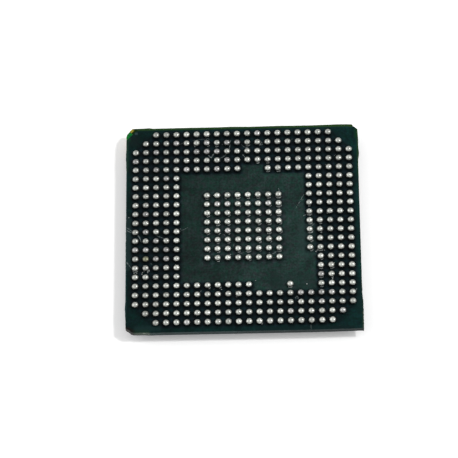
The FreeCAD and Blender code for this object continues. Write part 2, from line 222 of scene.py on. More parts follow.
class Shading(Nodes):
    """The nodes of one material, built round its Principled shader."""

    def __init__(self, name: str) -> None:
        """Makes the material and its coordinates in millimetres.

        Args:
            name: Name of the material.
        """
        self.material = bpy.data.materials.new(name)
        self.material.use_nodes = True
        super().__init__(self.material.node_tree)
        self.shader = self.tree.nodes["Principled BSDF"]
        where = self.add("ShaderNodeTexCoord").outputs["Object"]
        scale = {0: where, "Scale": 1.0 / MM}
        self.place = self.add("ShaderNodeVectorMath", scale, operation="SCALE").outputs[0]

    def stretch(self, factors: Spot) -> NodeSocket:
        """The place on the part with each axis multiplied by its own factor."""
        return self.vector("MULTIPLY", self.place, factors)

    def on_grid(self, height: float) -> NodeSocket:
        """The place on the board, moved so that whole numbers part the balls' cells, at one height."""
        return self.vector("ADD", self.stretch((1.0, 1.0, 0.0)), (GRID_SHIFT, GRID_SHIFT, height))

    def axes(self) -> tuple[NodeSocket, ...]:
        """The three coordinates of the place on the part, in millimetres."""
        return tuple(self.add("ShaderNodeSeparateXYZ", {0: self.place}).outputs)

    def noise(
        self,
        size: float,
        detail: float = 2.0,
        rough: float = 0.5,
        along: Spot = (1.0, 1.0, 1.0),
        warp: float = 0.0,
    ) -> NodeSocket:
        """Soft noise with lumps of one size.

        Args:
            size: Size of a lump, in millimetres.
            detail: How many finer layers are added.
            rough: How strong the finer layers are.
            along: Factors on the three axes; a small one draws the lumps out.
            warp: How much the noise bends itself.

        Returns:
            A number from nothing to one, mostly near a half.
        """
        inputs = {"Vector": self.stretch(along), "Scale": 1.0 / size}
        inputs |= {"Detail": detail, "Roughness": rough, "Distortion": warp}
        return self.add("ShaderNodeTexNoise", inputs).outputs["Fac"]

    def spread(
        self,
        value: NodeSocket,
        low: float,
        high: float,
        to_low: float = 0.0,
        to_high: float = 1.0,
    ) -> NodeSocket:
        """Moves a number from one range to another, softly and held at both ends.

        Args:
            value: The number.
            low: Start of its range.
            high: End of its range.
            to_low: What the start becomes.
            to_high: What the end becomes.

        Returns:
            The moved number.
        """
        inputs = {"Value": value, "From Min": low, "From Max": high, "To Min": to_low, "To Max": to_high}
        return self.add("ShaderNodeMapRange", inputs, interpolation_type="SMOOTHSTEP").outputs["Result"]

    def cloud(
        self,
        grain: Grain,
        window: Point = SOFT,
        to: Point = (0.0, 1.0),
        **more: object,
    ) -> NodeSocket:
        """Noise that is spread to a whole range.

        Args:
            grain: The noise.
            window: Its levels that become the ends of the range.
            to: The range.
            **more: What else the noise takes.

        Returns:
            A number in the range.
        """
        return self.spread(self.noise(*grain, **more), *window, *to)

    def specks(self, size: float, reach: float) -> NodeSocket:
        """Scattered round specks.

        Args:
            size: Distance from speck to speck, in millimetres.
            reach: Radius of a speck as a share of that distance.

        Returns:
            One in a speck and nothing elsewhere.
        """
        made = self.add("ShaderNodeTexVoronoi", {"Vector": self.place, "Scale": 1.0 / size}, feature="F1")
        return self.spread(made.outputs["Distance"], reach, reach * SPECK_CORE)

    def per_ball(self) -> NodeSocket:
        """A number from nothing to one that is the same all over each ball."""
        cell = {"Vector": self.vector("FLOOR", self.on_grid(0.5))}
        return self.add("ShaderNodeTexWhiteNoise", cell, noise_dimensions="3D").outputs["Value"]

    def inside(self, box: Box, soft: float, ragged: float = 0.0) -> NodeSocket:
        """One inside a rectangle on the board and nothing outside it.

        Args:
            box: Its left, near, right and far sides.
            soft: Half the width of its soft border.
            ragged: How far the border wanders.

        Returns:
            The share's socket.
        """
        x, y, _ = self.axes()
        if ragged:
            wander = self.maths("SUBTRACT", self.noise(*RAGGED_GRAIN), 0.5)
            wander = self.times(wander, ragged * RAGGED_REACH)
            x = self.maths("ADD", x, wander)
            y = self.maths("SUBTRACT", y, wander)
        left, near, right, far = box
        share = self.spread(x, left - soft, left + soft)
        for value, low, high in (
            (x, right + soft, right - soft),
            (y, near - soft, near + soft),
            (y, far + soft, far - soft),
        ):
            share = self.times(share, self.spread(value, low, high))
        return share

    def mix(self, share: object, first: object, second: object, how: str = "MIX") -> NodeSocket:
        """Mixes two colours.

        Args:
            share: How much of the second colour, from nothing to one.
            first: A colour or a socket.
            second: A colour or a socket.
            how: Blender's name for the way of mixing.

        Returns:
            The mixed colour.
        """
        inputs = {0: share, 6: first, 7: second}
        return self.add("ShaderNodeMix", inputs, data_type="RGBA", blend_type=how).outputs[2]

    def tint(self, colour: object, tone: NodeSocket) -> NodeSocket:
        """Multiplies a colour.

        Args:
            colour: A colour or a socket.
            tone: What it is multiplied by, a level or a colour.

        Returns:
            The new colour.
        """
        if tone.type == "VALUE":
            tone = self.add("ShaderNodeCombineColor", dict.fromkeys(range(3), tone)).outputs[0]
        return self.mix(1.0, colour, tone, "MULTIPLY")

    def relief(self, bumps: tuple[Bump, ...], along: Spot = (1.0, 1.0, 1.0)) -> None:
        """Raises the surface by layers of bumps.

        Args:
            bumps: The layers.
            along: Factors on the three axes; a small one draws the bumps out.
        """
        normal = {}
        for grain, depth in bumps:
            height = self.noise(*grain, along=along)
            inputs = {"Strength": 1.0, "Distance": depth * MM, "Height": height, **normal}
            normal = {"Normal": self.add("ShaderNodeBump", inputs).outputs["Normal"]}
        self.feed(self.shader.inputs["Normal"], normal["Normal"])

    def finish(self, colour: object, rough: object, metal: object = 0.0, gloss: float = 0.5) -> Material:
        """Sets the shader's main values.

        Args:
            colour: Base colour or its socket.
            rough: Roughness or its socket.
            metal: How metallic the surface is, or its socket.
            gloss: Specular level, a half for common plastics.

        Returns:
            The finished material.
        """
        self.feed(self.shader.inputs["Base Color"], colour)
        self.feed(self.shader.inputs["Roughness"], rough)
        self.feed(self.shader.inputs["Metallic"], metal)
        self.feed(self.shader.inputs["Specular IOR Level"], gloss)
        return self.material


@dataclass(frozen=True)
class SolderFinish:
    """Reflowed grey solder: fine grain, cloudy patches, a few dark pits, and painted shade and light."""

    name: str
    light: Colour = (0.486, 0.500, 0.466)
    dark: Colour = (0.358, 0.370, 0.341)
    # The dark pits' colour, also laid on each ball's foot as painted shade.
    stain: Colour = (0.10, 0.095, 0.075)
    stain_share: float = 0.3
    patches: Grain = (0.34, 3.0, 0.55)
    pit_grain: Grain = (0.13, 2.0, 0.6)
    pits: Point = (0.62, 0.74)
    pit_warp: float = 0.4
    rough_grain: Grain = (0.12, 3.0)
    rough: Point = (0.31, 0.45)
    bumps: tuple[Bump, ...] = (((0.05,), 0.0022), ((0.26, 1.0), 0.006))
    # Painted shade: the balls darken towards the foot, where shade falls and the dark mask is mirrored.
    foot: Point = (BALL_SEAT + 0.06, BALL_SEAT + 0.40)
    foot_painted_shade_share: float = 0.88
    # Painted light and shade by place: brighter in the middle, darker to the left and at the far side.
    inner_border: Point = (7.05, 6.95)
    inner_painted_light: float = 1.115
    left_border: Point = (-7.1, -6.9)
    left_painted_shade: float = 0.84
    far_border: Point = (5.9, 6.1)
    far_painted_shade: float = 0.88
    own_tones: Point = (0.82, 1.08)

    def tone(self, s: Shading) -> NodeSocket:
        """Painted light and shade by where the balls stand, with a little random tone for each ball alone.

        Args:
            s: The material's nodes.

        Returns:
            The level's socket.
        """
        x, y, _ = s.axes()
        away = s.maths("MAXIMUM", s.maths("ABSOLUTE", x), s.maths("ABSOLUTE", y))
        inner = s.spread(away, *self.inner_border, 1.0, self.inner_painted_light)
        left = s.spread(x, *self.left_border, self.left_painted_shade, 1.0)
        far = s.spread(y, *self.far_border, 1.0, self.far_painted_shade)
        own = s.spread(s.per_ball(), 0.0, 1.0, *self.own_tones)
        return s.times(s.times(inner, left), s.times(far, own))

    def make(self) -> Material:
        """The solder's material."""
        s = Shading(self.name)
        metal = s.tint(s.mix(s.cloud(self.patches), self.dark, self.light), self.tone(s))
        pits = s.times(s.cloud(self.pit_grain, self.pits, warp=self.pit_warp), self.stain_share)
        metal = s.mix(pits, metal, self.stain)
        # Painted shade on the ball's foot, in the pits' colour.
        foot = s.spread(s.axes()[2], *self.foot, self.foot_painted_shade_share, 0.0)
        metal = s.mix(foot, metal, self.stain)
        s.relief(self.bumps)
        return s.finish(metal, s.cloud(self.rough_grain, to=self.rough), metal=1.0)


@dataclass(frozen=True)
class Stain:
    """A stretch of the board that wear has given another colour."""

    box: Box
    colour: Colour
    share: float
    soft: float
    ragged: float

    def lay(self, s: Shading, colour: NodeSocket) -> NodeSocket:
        """Lays the stain over a colour.

        Args:
            s: The material's nodes.
            colour: The colour below it.

        Returns:
            The new colour.
        """
        share = s.times(s.inside(self.box, self.soft, self.ragged), self.share)
        return s.mix(share, colour, self.colour)


MASK_STAINS: tuple[Stain, ...] = tuple(Stain(*row) for row in (
    ((-11.1, 11.24, 10.9, 11.8), (0.019, 0.052, 0.012), 0.9, 0.08, 0.04),
    ((11.33, 5.5, 11.8, 11.0), (0.012, 0.040, 0.014), 0.85, 0.05, 0.03),
    ((11.38, -7.0, 11.8, 5.5), (0.006, 0.030, 0.018), 0.7, 0.05, 0.03),
    ((-11.8, -9.8, -11.36, 9.6), (0.014, 0.048, 0.048), 0.65, 0.05, 0.03),
    ((-11.8, 6.5, -11.25, 10.1), (0.011, 0.034, 0.022), 0.65, 0.08, 0.05),
    ((2.4, -7.0, 7.0, -5.15), (0.0085, 0.0200, 0.0185), 0.45, 0.25, 0.08),
    ((5.4, -3.4, 7.0, 0.4), (0.0200, 0.0440, 0.0400), 0.45, 0.30, 0.08),
    ((1.0, -11.8, 10.6, -11.05), (0.0030, 0.0100, 0.0105), 0.7, 0.08, 0.04),
    ((-10.6, -11.2, -8.0, -10.7), (0.0075, 0.0230, 0.0230), 0.7, 0.20, 0.08),
    ((-11.8, -4.6, -10.95, 1.4), (0.017, 0.034, 0.035), 0.45, 0.16, 0.12),
    ((11.42, -11.6, 11.8, -7.8), (0.026, 0.055, 0.034), 0.6, 0.05, 0.10),
    ((10.9, -9.8, 11.46, -6.6), (0.0030, 0.0125, 0.0125), 0.6, 0.12, 0.08),
    ((10.60, 11.20, 11.15, 11.6), (0.018, 0.044, 0.006), 0.8, 0.08, 0.05),
    ((11.08, 9.9, 11.60, 11.1), (0.0040, 0.0290, 0.0110), 0.6, 0.08, 0.04),
    ((11.32, 10.1, 11.8, 11.2), (0.013, 0.052, 0.012), 0.7, 0.06, 0.04),
    ((11.38, -11.6, 11.8, -9.5), (0.042, 0.058, 0.036), 0.5, 0.04, 0.08),
    ((-11.8, -11.10, -10.95, -10.80), (0.006, 0.005, 0.004), 0.9, 0.08, 0.08),
    ((-11.25, -11.80, -10.70, -11.02), (0.006, 0.005, 0.004), 0.9, 0.08, 0.08),
    ((-10.65, -11.40, -9.10, -11.10), (0.008, 0.026, 0.016), 0.6, 0.10, 0.08),
    ((-10.55, -11.80, -9.10, -11.40), (0.045, 0.080, 0.052), 0.8, 0.07, 0.06),
    ((-10.95, -11.80, -10.50, -11.10), (0.006, 0.008, 0.006), 0.7, 0.08, 0.08),
    ((-11.8, 10.05, -11.05, 10.75), (0.006, 0.050, 0.018), 0.6, 0.12, 0.05),
    ((-10.72, 11.16, -10.38, 11.8), (0.011, 0.031, 0.001), 0.9, 0.07, 0.04),
    ((-10.64, 10.76, -10.36, 11.02), (0.030, 0.052, 0.056), 0.8, 0.06, 0.03),
    ((-11.3, 9.5, -10.2, 10.6), (0.0080, 0.0130, 0.0130), 0.35, 0.30, 0.12),
))

LAMINATE_STAINS: tuple[Stain, ...] = tuple(Stain(*row) for row in (
    ((-12.0, 10.0, -10.9, 11.05), (0.008, 0.150, 0.030), 1.0, 0.06, 0.05),
    ((-12.0, -11.35, -11.05, -10.6), (0.040, 0.035, 0.028), 0.85, 0.08, 0.10),
    ((-11.2, -12.0, -10.55, -11.2), (0.016, 0.013, 0.012), 0.9, 0.08, 0.10),
    ((-10.5, -12.0, -9.05, -11.2), (0.085, 0.105, 0.080), 0.75, 0.12, 0.10),
))


@dataclass(frozen=True)
class MaskFinish:
    """Dark green solder mask, paler over the copper sheet, with painted shade round the balls."""

    name: str
    ball_side: bool = True
    over_laminate: Colour = (0.0018, 0.0150, 0.0142)
    over_copper: Colour = (0.0117, 0.0262, 0.0234)
    ring_gap: Colour = (0.0032, 0.0107, 0.0142)
    centre_gap: Colour = (0.0158, 0.0300, 0.0310)
    dust: Colour = (0.045, 0.060, 0.058)
    dust_specks: Point = (0.9, 0.05)
    dust_share: float = 0.5
    sheet_border: Point = (0.18, 0.05)
    ring: Box = (-11.0, -11.0, 11.0, 11.0)
    ring_border: float = 0.25
    centre: Box = (-4.1, -4.1, 4.1, 4.1)
    centre_border: Point = (0.3, 0.1)
    corner_border: Point = (20.25, 18.85)
    corner_grain: Grain = (0.8,)
    corner_sway: float = 0.8
    across: Point = (-9.0, 7.0)
    across_levels: Point = (0.72, 1.20)
    # Painted shade round the balls: how dark the mask is next to a ball, and where it fades out.
    ring_painted_shade: Colour = (0.36, 0.36, 0.36)
    centre_painted_shade: Colour = (0.52, 0.52, 0.52)
    painted_shade_reach: Point = (0.45, 0.68)
    under_patches: Grain = (3.0,)
    patches: Grain = (1.9, 4.0, 0.6)
    patch_warp: float = 0.3
    patch_levels: Point = (0.72, 1.26)
    fine: Grain = (0.20, 3.0, 0.65)
    fine_window: Point = (0.27, 0.73)
    fine_levels: Point = (0.66, 1.34)
    streaks: Grain = (0.13, 1.0)
    streak_draw: float = 0.05
    streak_levels: tuple[Point, Point] = ((0.94, 1.06), (0.92, 1.08))
    hues: tuple[tuple[Grain, Colour, Colour], ...] = (
        ((0.8, 3.0), (1.15, 0.96, 0.98), (0.87, 1.05, 0.98)),
        ((0.3, 3.0), (1.26, 0.95, 1.08), (0.76, 1.05, 0.94)),
    )
    bumps: tuple[Bump, ...] = (((0.10,), 0.0012), ((1.2,), 0.004))
    rough_grain: Grain = (0.6, 3.0)
    rough: Point = (0.37, 0.52)
    gloss: float = 0.05

    def among_balls(self, s: Shading, sheet: NodeSocket) -> NodeSocket:
        """One among the balls and nothing where the mask is bare.

        Args:
            s: The material's nodes.
            sheet: The share of the copper sheet.

        Returns:
            The share's socket.
        """
        x, y, _ = s.axes()
        reach = s.maths("ADD", s.maths("ABSOLUTE", x), s.maths("ABSOLUTE", y))
        wander = s.times(s.maths("SUBTRACT", s.noise(*self.corner_grain), 0.5), self.corner_sway)
        corner = s.spread(s.maths("ADD", reach, wander), *self.corner_border)
        ring = s.times(s.inside(self.ring, self.ring_border), corner)
        ring = s.times(ring, s.maths("SUBTRACT", 1.0, sheet))
        return s.maths("MAXIMUM", ring, s.inside(self.centre, *self.centre_border))

    def ball_side_colour(self, s: Shading) -> NodeSocket:
        """Colour of the side with the balls, with painted shade round their feet.

        Args:
            s: The material's nodes.

        Returns:
            The colour's socket.
        """
        sheet = s.inside(COPPER_SHEET[0], *self.sheet_border)
        for box in COPPER_SHEET[1:]:
            sheet = s.maths("MAXIMUM", sheet, s.inside(box, *self.sheet_border))
        bare = s.mix(sheet, self.over_laminate, self.over_copper)
        gap = s.mix(sheet, self.ring_gap, self.centre_gap)
        # Painted shade: the mask between the balls darkens near each cell's middle, for the balls' shade.
        away = s.reach("DISTANCE", s.vector("FRACTION", s.on_grid(0.0)), CELL_MIDDLE)
        near = s.mix(sheet, self.ring_painted_shade, self.centre_painted_shade)
        gap = s.tint(gap, s.mix(s.spread(away, *self.painted_shade_reach), near, WHITE))
        bare = s.tint(bare, s.spread(s.axes()[0], *self.across, *self.across_levels))
        return s.mix(self.among_balls(s, sheet), bare, gap)

    def make(self) -> Material:
        """The mask's material."""
        s = Shading(self.name)
        if self.ball_side:
            colour = self.ball_side_colour(s)
        else:
            colour = s.mix(s.cloud(self.under_patches), self.over_laminate, self.ring_gap)
        patch = s.cloud(self.patches, to=self.patch_levels, warp=self.patch_warp)
        fine = s.cloud(self.fine, self.fine_window, self.fine_levels)
        streak_x = s.cloud(self.streaks, to=self.streak_levels[0], along=(self.streak_draw, 1.0, 1.0))
        streak_y = s.cloud(self.streaks, to=self.streak_levels[1], along=(1.0, self.streak_draw, 1.0))
        colour = s.tint(colour, s.times(s.times(patch, fine), s.times(streak_x, streak_y)))
        for grain, warm, cool in self.hues:
            colour = s.tint(colour, s.mix(s.cloud(grain, FIRM), warm, cool))
        for stain in MASK_STAINS if self.ball_side else ():
            colour = stain.lay(s, colour)
        colour = s.mix(s.times(s.specks(*self.dust_specks), self.dust_share), colour, self.dust)
        s.relief(self.bumps)
        return s.finish(colour, s.cloud(self.rough_grain, to=self.rough), gloss=self.gloss)


@dataclass(frozen=True)
class LaminateFinish:
    """Routed edge of the resin and glass laminate: fibres along it, dirt, and a paler upper edge."""

    name: str
    resin: Colour = (0.010, 0.021, 0.023)
    fibre: Colour = (0.044, 0.065, 0.066)
    fibre_share: float = 0.5
    layers: Grain = (0.05,)
    layer_window: Point = (0.38, 0.62)
    layer_draw: float = 0.06
    bundles: Grain = (0.35, 3.0, 0.6)
    bundle_window: Point = (0.35, 0.68)
    dirt_grain: Grain = (1.6, 3.0)
    dirt: Point = (0.7, 1.2)
    bumps: tuple[Bump, ...] = (((0.04,), 0.008),)
    bump_draw: float = 0.2
    edge: Point = (BALL_SEAT - 0.16, BALL_SEAT - 0.06)
    edge_level: float = 1.55
    across: Point = (-9.0, 8.0)
    across_levels: Point = (1.15, 0.72)
    rough: float = 0.62
    gloss: float = 0.25

    def make(self) -> Material:
        """The laminate's material."""
        s = Shading(self.name)
        layers = s.cloud(self.layers, self.layer_window, along=(self.layer_draw, self.layer_draw, 1.0))
        bundles = s.cloud(self.bundles, self.bundle_window)
        colour = s.mix(s.times(s.times(layers, bundles), self.fibre_share), self.resin, self.fibre)
        dirt = s.cloud(self.dirt_grain, FIRM, self.dirt)
        upper = s.spread(s.axes()[2], *self.edge, 1.0, self.edge_level)
        across = s.spread(s.axes()[0], *self.across, *self.across_levels)
        colour = s.tint(colour, s.times(s.times(dirt, across), upper))
        for stain in LAMINATE_STAINS:
            colour = stain.lay(s, colour)
        s.relief(self.bumps, (self.bump_draw, self.bump_draw, 1.0))
        return s.finish(colour, self.rough, gloss=self.gloss)


@dataclass(frozen=True)
class MetalFinish:
    """Plated or bare metal with a soft grain and a little tarnish."""

    name: str
    clean: Colour
    worn: Colour
    rough: float = 0.35
    grain: float = 0.10
    depth: float = 0.003
    wear_size: float = 4.0
    wear_window: Point = (0.4, 0.66)
    rough_sway: Point = (-0.08, 0.1)

    def make(self) -> Material:
        """The metal's material."""
        s = Shading(self.name)
        wear = s.cloud((self.grain * self.wear_size, 3.0, 0.6), self.wear_window)
        colour = s.mix(wear, self.clean, self.worn)
        s.relief((((self.grain,), self.depth),))
        low, high = self.rough_sway
        rough = s.cloud((self.grain,), to=(self.rough + low, self.rough + high))
        return s.finish(colour, rough, metal=1.0)


@dataclass(frozen=True)
class CornerMarkFinish:
    """The gold corner mark: bare gold at the rim, under a worn green film further in."""

    name: str
    gold: Colour = (0.33, 0.27, 0.040)
    worn: Colour = (0.16, 0.15, 0.012)
    film: Colour = (0.003, 0.016, 0.001)
    film_border: Point = (22.12, 21.95)
    film_right: Point = (-10.85, -10.65)
    film_grain: Grain = (0.15,)
    film_sway: float = 0.2
    wear: Grain = (0.2, 3.0, 0.6)
    shine: float = 0.8
    bumps: tuple[Bump, ...] = (((0.06,), 0.003),)
    rough_grain: Grain = (0.1,)
    rough: Point = (0.4, 0.55)
    gloss: float = 0.06

    def make(self) -> Material:
        """The mark's material."""
        s = Shading(self.name)
        x, y, _ = s.axes()
        gold = s.mix(s.cloud(self.wear, FIRM), self.gold, self.worn)
        sway = s.times(s.noise(*self.film_grain), self.film_sway)
        reach = s.maths("ADD", s.maths("SUBTRACT", y, x), sway)
        film = s.maths("MAXIMUM", s.spread(reach, *self.film_border), s.spread(x, *self.film_right))
        s.relief(self.bumps)
        shine = s.spread(film, 0.0, 1.0, self.shine, 0.0)
        rough = s.cloud(self.rough_grain, to=self.rough)
        return s.finish(s.mix(film, gold, self.film), rough, shine, self.gloss)


@dataclass(frozen=True)
class MouldFinish:
    """Black moulding compound: matt, with the fine grain of an eroded tool and pale filler specks."""

    name: str
    body: Colour = (0.020, 0.020, 0.021)
    grey: Colour = (0.034, 0.034, 0.035)
    filler: Colour = (0.11, 0.11, 0.11)
    filler_specks: Point = (0.14, 0.12)
    share: float = 0.35
    patches: Grain = (2.5, 3.0)
    flow: Grain = (1.2,)
    flow_window: Point = (0.45, 0.7)
    flow_draw: float = 0.25
    flow_warp: float = 0.6
    bumps: tuple[Bump, ...] = (((0.045,), 0.006), ((0.16,), 0.008))
    rough_grain: Grain = (0.5, 3.0)
    rough: Point = (0.5, 0.64)
    gloss: float = 0.4

    def make(self) -> Material:
        """The compound's material."""
        s = Shading(self.name)
        colour = s.mix(s.cloud(self.patches, FIRM), self.body, self.grey)
        along = (self.flow_draw, self.flow_draw, 1.0)
        flow = s.cloud(self.flow, self.flow_window, along=along, warp=self.flow_warp)
        colour = s.mix(s.times(flow, self.share), colour, self.grey)
        colour = s.mix(s.times(s.specks(*self.filler_specks), self.share), colour, self.filler)
        s.relief(self.bumps)
        return s.finish(colour, s.cloud(self.rough_grain, to=self.rough), gloss=self.gloss)


@dataclass(frozen=True)
class GrainFinish:
    """A plain non-metal with two tones in cloudy grain, for residue, adhesive and silicon."""

    name: str
    first: Colour
    second: Colour
    grain: float = 0.15
    rough: float = 0.55
    gloss: float = 0.3
    depth: float = 0.004
    fine_size: float = 0.3
    fine_share: float = 0.4
    bump_size: float = 0.4
    rough_size: float = 0.6
    rough_sway: float = 0.06

    def make(self) -> Material:
        """The grain's material."""
        s = Shading(self.name)
        colour = s.mix(s.cloud((self.grain, 3.0, 0.6), FIRM), self.first, self.second)
        fine = s.cloud((self.grain * self.fine_size,), to=(0.0, self.fine_share))
        colour = s.mix(fine, colour, self.first)
        s.relief((((self.grain * self.bump_size,), self.depth),))
        levels = (self.rough - self.rough_sway, self.rough + self.rough_sway)
        rough = s.cloud((self.grain * self.rough_size,), to=levels)
        return s.finish(colour, rough, gloss=self.gloss)


class Draft:
    """Corners and faces of one piece, gathered in millimetres."""

    def __init__(self, name: str) -> None:
        """Starts an empty piece."""
        self.name = name
        self.corners: list[Spot] = []
        self.faces: list[tuple[int, ...]] = []
        self.finishes: list[int] = []

    def corner(self, x: float, y: float, z: float) -> int:
        """Adds a corner and gives its number."""
        self.corners.append((x, y, z))
        return len(self.corners) - 1

    def face(self, corners: list[int] | tuple[int, ...], finish: int = 0) -> None:
        """Adds a face with the number of its finish."""
        self.faces.append(tuple(corners))
        self.finishes.append(finish)

    def ring(self, points: list[Point], z: float) -> list[int]:
        """Adds a closed row of corners at one height.

        Args:
            points: The row, against the clock seen from above.
            z: Its height.

        Returns:
            The corners' numbers.
        """
        return [self.corner(x, y, z) for x, y in points]

    def wall(self, low: list[int], high: list[int], finish: int = 0) -> None:
        """Joins two closed rows of corners with faces.

        Args:
            low: The lower row.
            high: The upper row, as long as the lower one.
            finish: Number of the finish.
        """
        for i in range(len(low)):
            j = (i + 1) % len(low)
            self.face((low[i], low[j], high[j], high[i]), finish)

    def strip(self, first: list[int], second: list[int], finish: int = 0) -> None:
        """Joins two open rows of corners with faces.

        Args:
            first: One row.
            second: The other row, as long as the first one.
            finish: Number of the finish.
        """
        for i in range(len(first) - 1):
            self.face((first[i], first[i + 1], second[i + 1], second[i]), finish)

    def slab(self, under: list[int], upper: list[int], finish: int = 0) -> None:
        """Closes the solid between two closed rows of corners.

        Args:
            under: The row round its underside.
            upper: The row round its top.
            finish: Number of the finish.
        """
        self.wall(under, upper, finish)
        self.face(upper, finish)
        self.face(under[::-1], finish)

    def lump(self, rows: list[list[int]], hanging: bool = False) -> None:
        """Joins closed rows of corners and closes the last one.

        Args:
            rows: The rows, from the foot to the tip.
            hanging: Whether the lump hangs from a face that looks down.
        """
        for foot, tip in zip(rows, rows[1:]):
            self.wall(*((tip, foot) if hanging else (foot, tip)))
        self.face(rows[-1][::-1] if hanging else rows[-1])

    def piece(self, finishes: list[Material], slot: Slot, smooth: bool = True) -> Object:
        """Makes the Blender object and sets it on the chip's body.

        Args:
            finishes: Its materials, in the order of the faces' numbers.
            slot: The record's slot for the piece; not used.
            smooth: Whether its faces are shaded smoothly.

        Returns:
            The new object.
        """
        mesh = bpy.data.meshes.new(self.name)
        mesh.from_pydata([(x * MM, y * MM, z * MM) for x, y, z in self.corners], [], self.faces)
        for finish in finishes:
            mesh.materials.append(finish)
        mesh.polygons.foreach_set("material_index", self.finishes)
        mesh.polygons.foreach_set("use_smooth", [smooth] * len(self.faces))
        mesh.validate()
        mesh.update()
        made = put_in_scene(self.name, mesh)
        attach(made, BODY)
        log.info("%s: %d faces", self.name, len(self.faces))
        return made


@dataclass
class SolderBalls:
    """The field of reflowed solder balls, one piece for each lettered row."""

    radius: float = 0.327
    foot_radius: float = 0.225
    height: float = 0.5233
    sectors: int = 24
    belts: int = 11
    lump: float = 0.004
    lump_share: float = 0.8
    lump_scale: float = 1.6
    lump_growth: float = 3.0
    noise_room: float = 50.0
    shrink: float = 0.02
    lean: float = 0.012
    width: float = 1.04
    depth: float = 0.98
    drift: Point = (0.017, -0.008)
    seed: int = 11
    dull: str = (
        "c13 c15 b12 b10 b14 g3 c5 f5 a4 j3 n1 l2 h3 c3 d6 d14 d15 w17 y19 w19 v19 k4 h2 k2 p9 u19 a14 "
        "j9 j5 f22 k9 k12 e2 w20 aa21 t21"
    )
    yellowed: str = "b15"
    pitted: str = "c4 f4 d5 g4 b5 k5 l4 h10 j11 w16 w18 l8 p8"

    def sites(self, row: int) -> list[tuple[int, Point]]:
        """Numbers and middles of the balls that the CAD row holds.

        Args:
            row: The row, counted from the left.

        Returns:
            Each ball's number, counted towards the viewer, and its middle.
        """
        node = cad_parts["balls_row_" + ROW_NAMES[row]]
        found: dict[int, list[Vector]] = {}
        for vertex in node.data.vertices:
            number = round(-(vertex.co.y / MM + FIRST_SITE) / PITCH)
            found.setdefault(number, []).append(vertex.co)
        made = []
        for number, corners in sorted(found.items()):
            x, y = ((min(values) + max(values)) / 2 / MM for values in list(zip(*corners))[:2])
            made.append((number, (x, y)))
        return made

    def state(self, name: str) -> BallState:
        """The state of a ball.

        Args:
            name: Its row and number.

        Returns:
            The state.
        """
        lists = {
            BallState.DULL: self.dull,
            BallState.YELLOWED: self.yellowed,
            BallState.PITTED: self.pitted,
        }
        return next((state for state, names in lists.items() if name in names.split()), BallState.CLEAN)

    def add_ball(self, draft: Draft, middle: Point, finish: int, chance: random.Random) -> None:
        """Adds one ball, a truncated round body with its own small faults.

        Args:
            draft: The row's piece.
            middle: Middle of the ball's foot.
            finish: Number of its finish.
            chance: Source of the ball's small differences.
        """
        height = math.sqrt(self.radius**2 - self.foot_radius**2)
        low = math.pi - math.asin(self.foot_radius / self.radius)
        size = 1.0 - self.shrink * chance.random()
        tall = self.height / (height + self.radius) * (1.0 - self.shrink * chance.random())
        lean_x, lean_y = (drift + chance.uniform(-self.lean, self.lean) for drift in self.drift)
        offset = Vector([chance.uniform(0, self.noise_room) for _ in range(3)])
        last = None
        for belt in range(self.belts):
            polar = low * (1.0 - belt / self.belts)
            rise = min(1.0, self.lump_growth * belt / self.belts)
            row = []
            for sector in range(self.sectors):
                turn = 2.0 * math.pi * sector / self.sectors
                out = math.sin(polar)
                way = Vector((out * math.cos(turn), out * math.sin(turn), math.cos(polar)))
                uneven = 1.0 + noise.noise(way * self.lump_scale + offset)
                reach = self.radius * size
                reach -= rise * self.lump * uneven * self.lump_share
                z = max(0.0, height + reach * way.z) * tall
                share = z / (2.0 * height)
                x = middle[0] + reach * self.width * way.x + lean_x * share
                y = middle[1] + reach * self.depth * way.y + lean_y * share
                row.append(draft.corner(x, y, BALL_SEAT + z))
            if last is not None:
                draft.wall(last, row, finish)
            last = row
        tip = (height + self.radius * size - self.lump) * tall
        point = draft.corner(middle[0] + lean_x, middle[1] + lean_y, BALL_SEAT + tip)
        for sector in range(self.sectors):
            draft.face((last[sector], last[(sector + 1) % self.sectors], point), finish)

    def build(self) -> None:
        """Makes the rows and puts them in place of the CAD rows."""
        finishes = [
            SolderFinish("solder_clean"),
            SolderFinish("solder_dull", (0.405, 0.405, 0.395), (0.255, 0.255, 0.250), stain_share=0.6),
            SolderFinish("solder_yellowed", (0.285, 0.290, 0.205), (0.180, 0.184, 0.125), stain_share=0.6),
            SolderFinish("solder_pitted", stain_share=1.0),
        ]
        made_finishes = [finish.make() for finish in finishes]
        chance = random.Random(self.seed)
        for row, letter in enumerate(ROW_NAMES):
            draft = Draft("solder_balls_row_" + letter)
            for number, middle in self.sites(row):
                state = self.state(f"{letter}{number + 1}")
                self.add_ball(draft, middle, state.value, chance)
            made = draft.piece(made_finishes, Slot.BALL)
            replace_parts(made, "balls_row_" + letter)


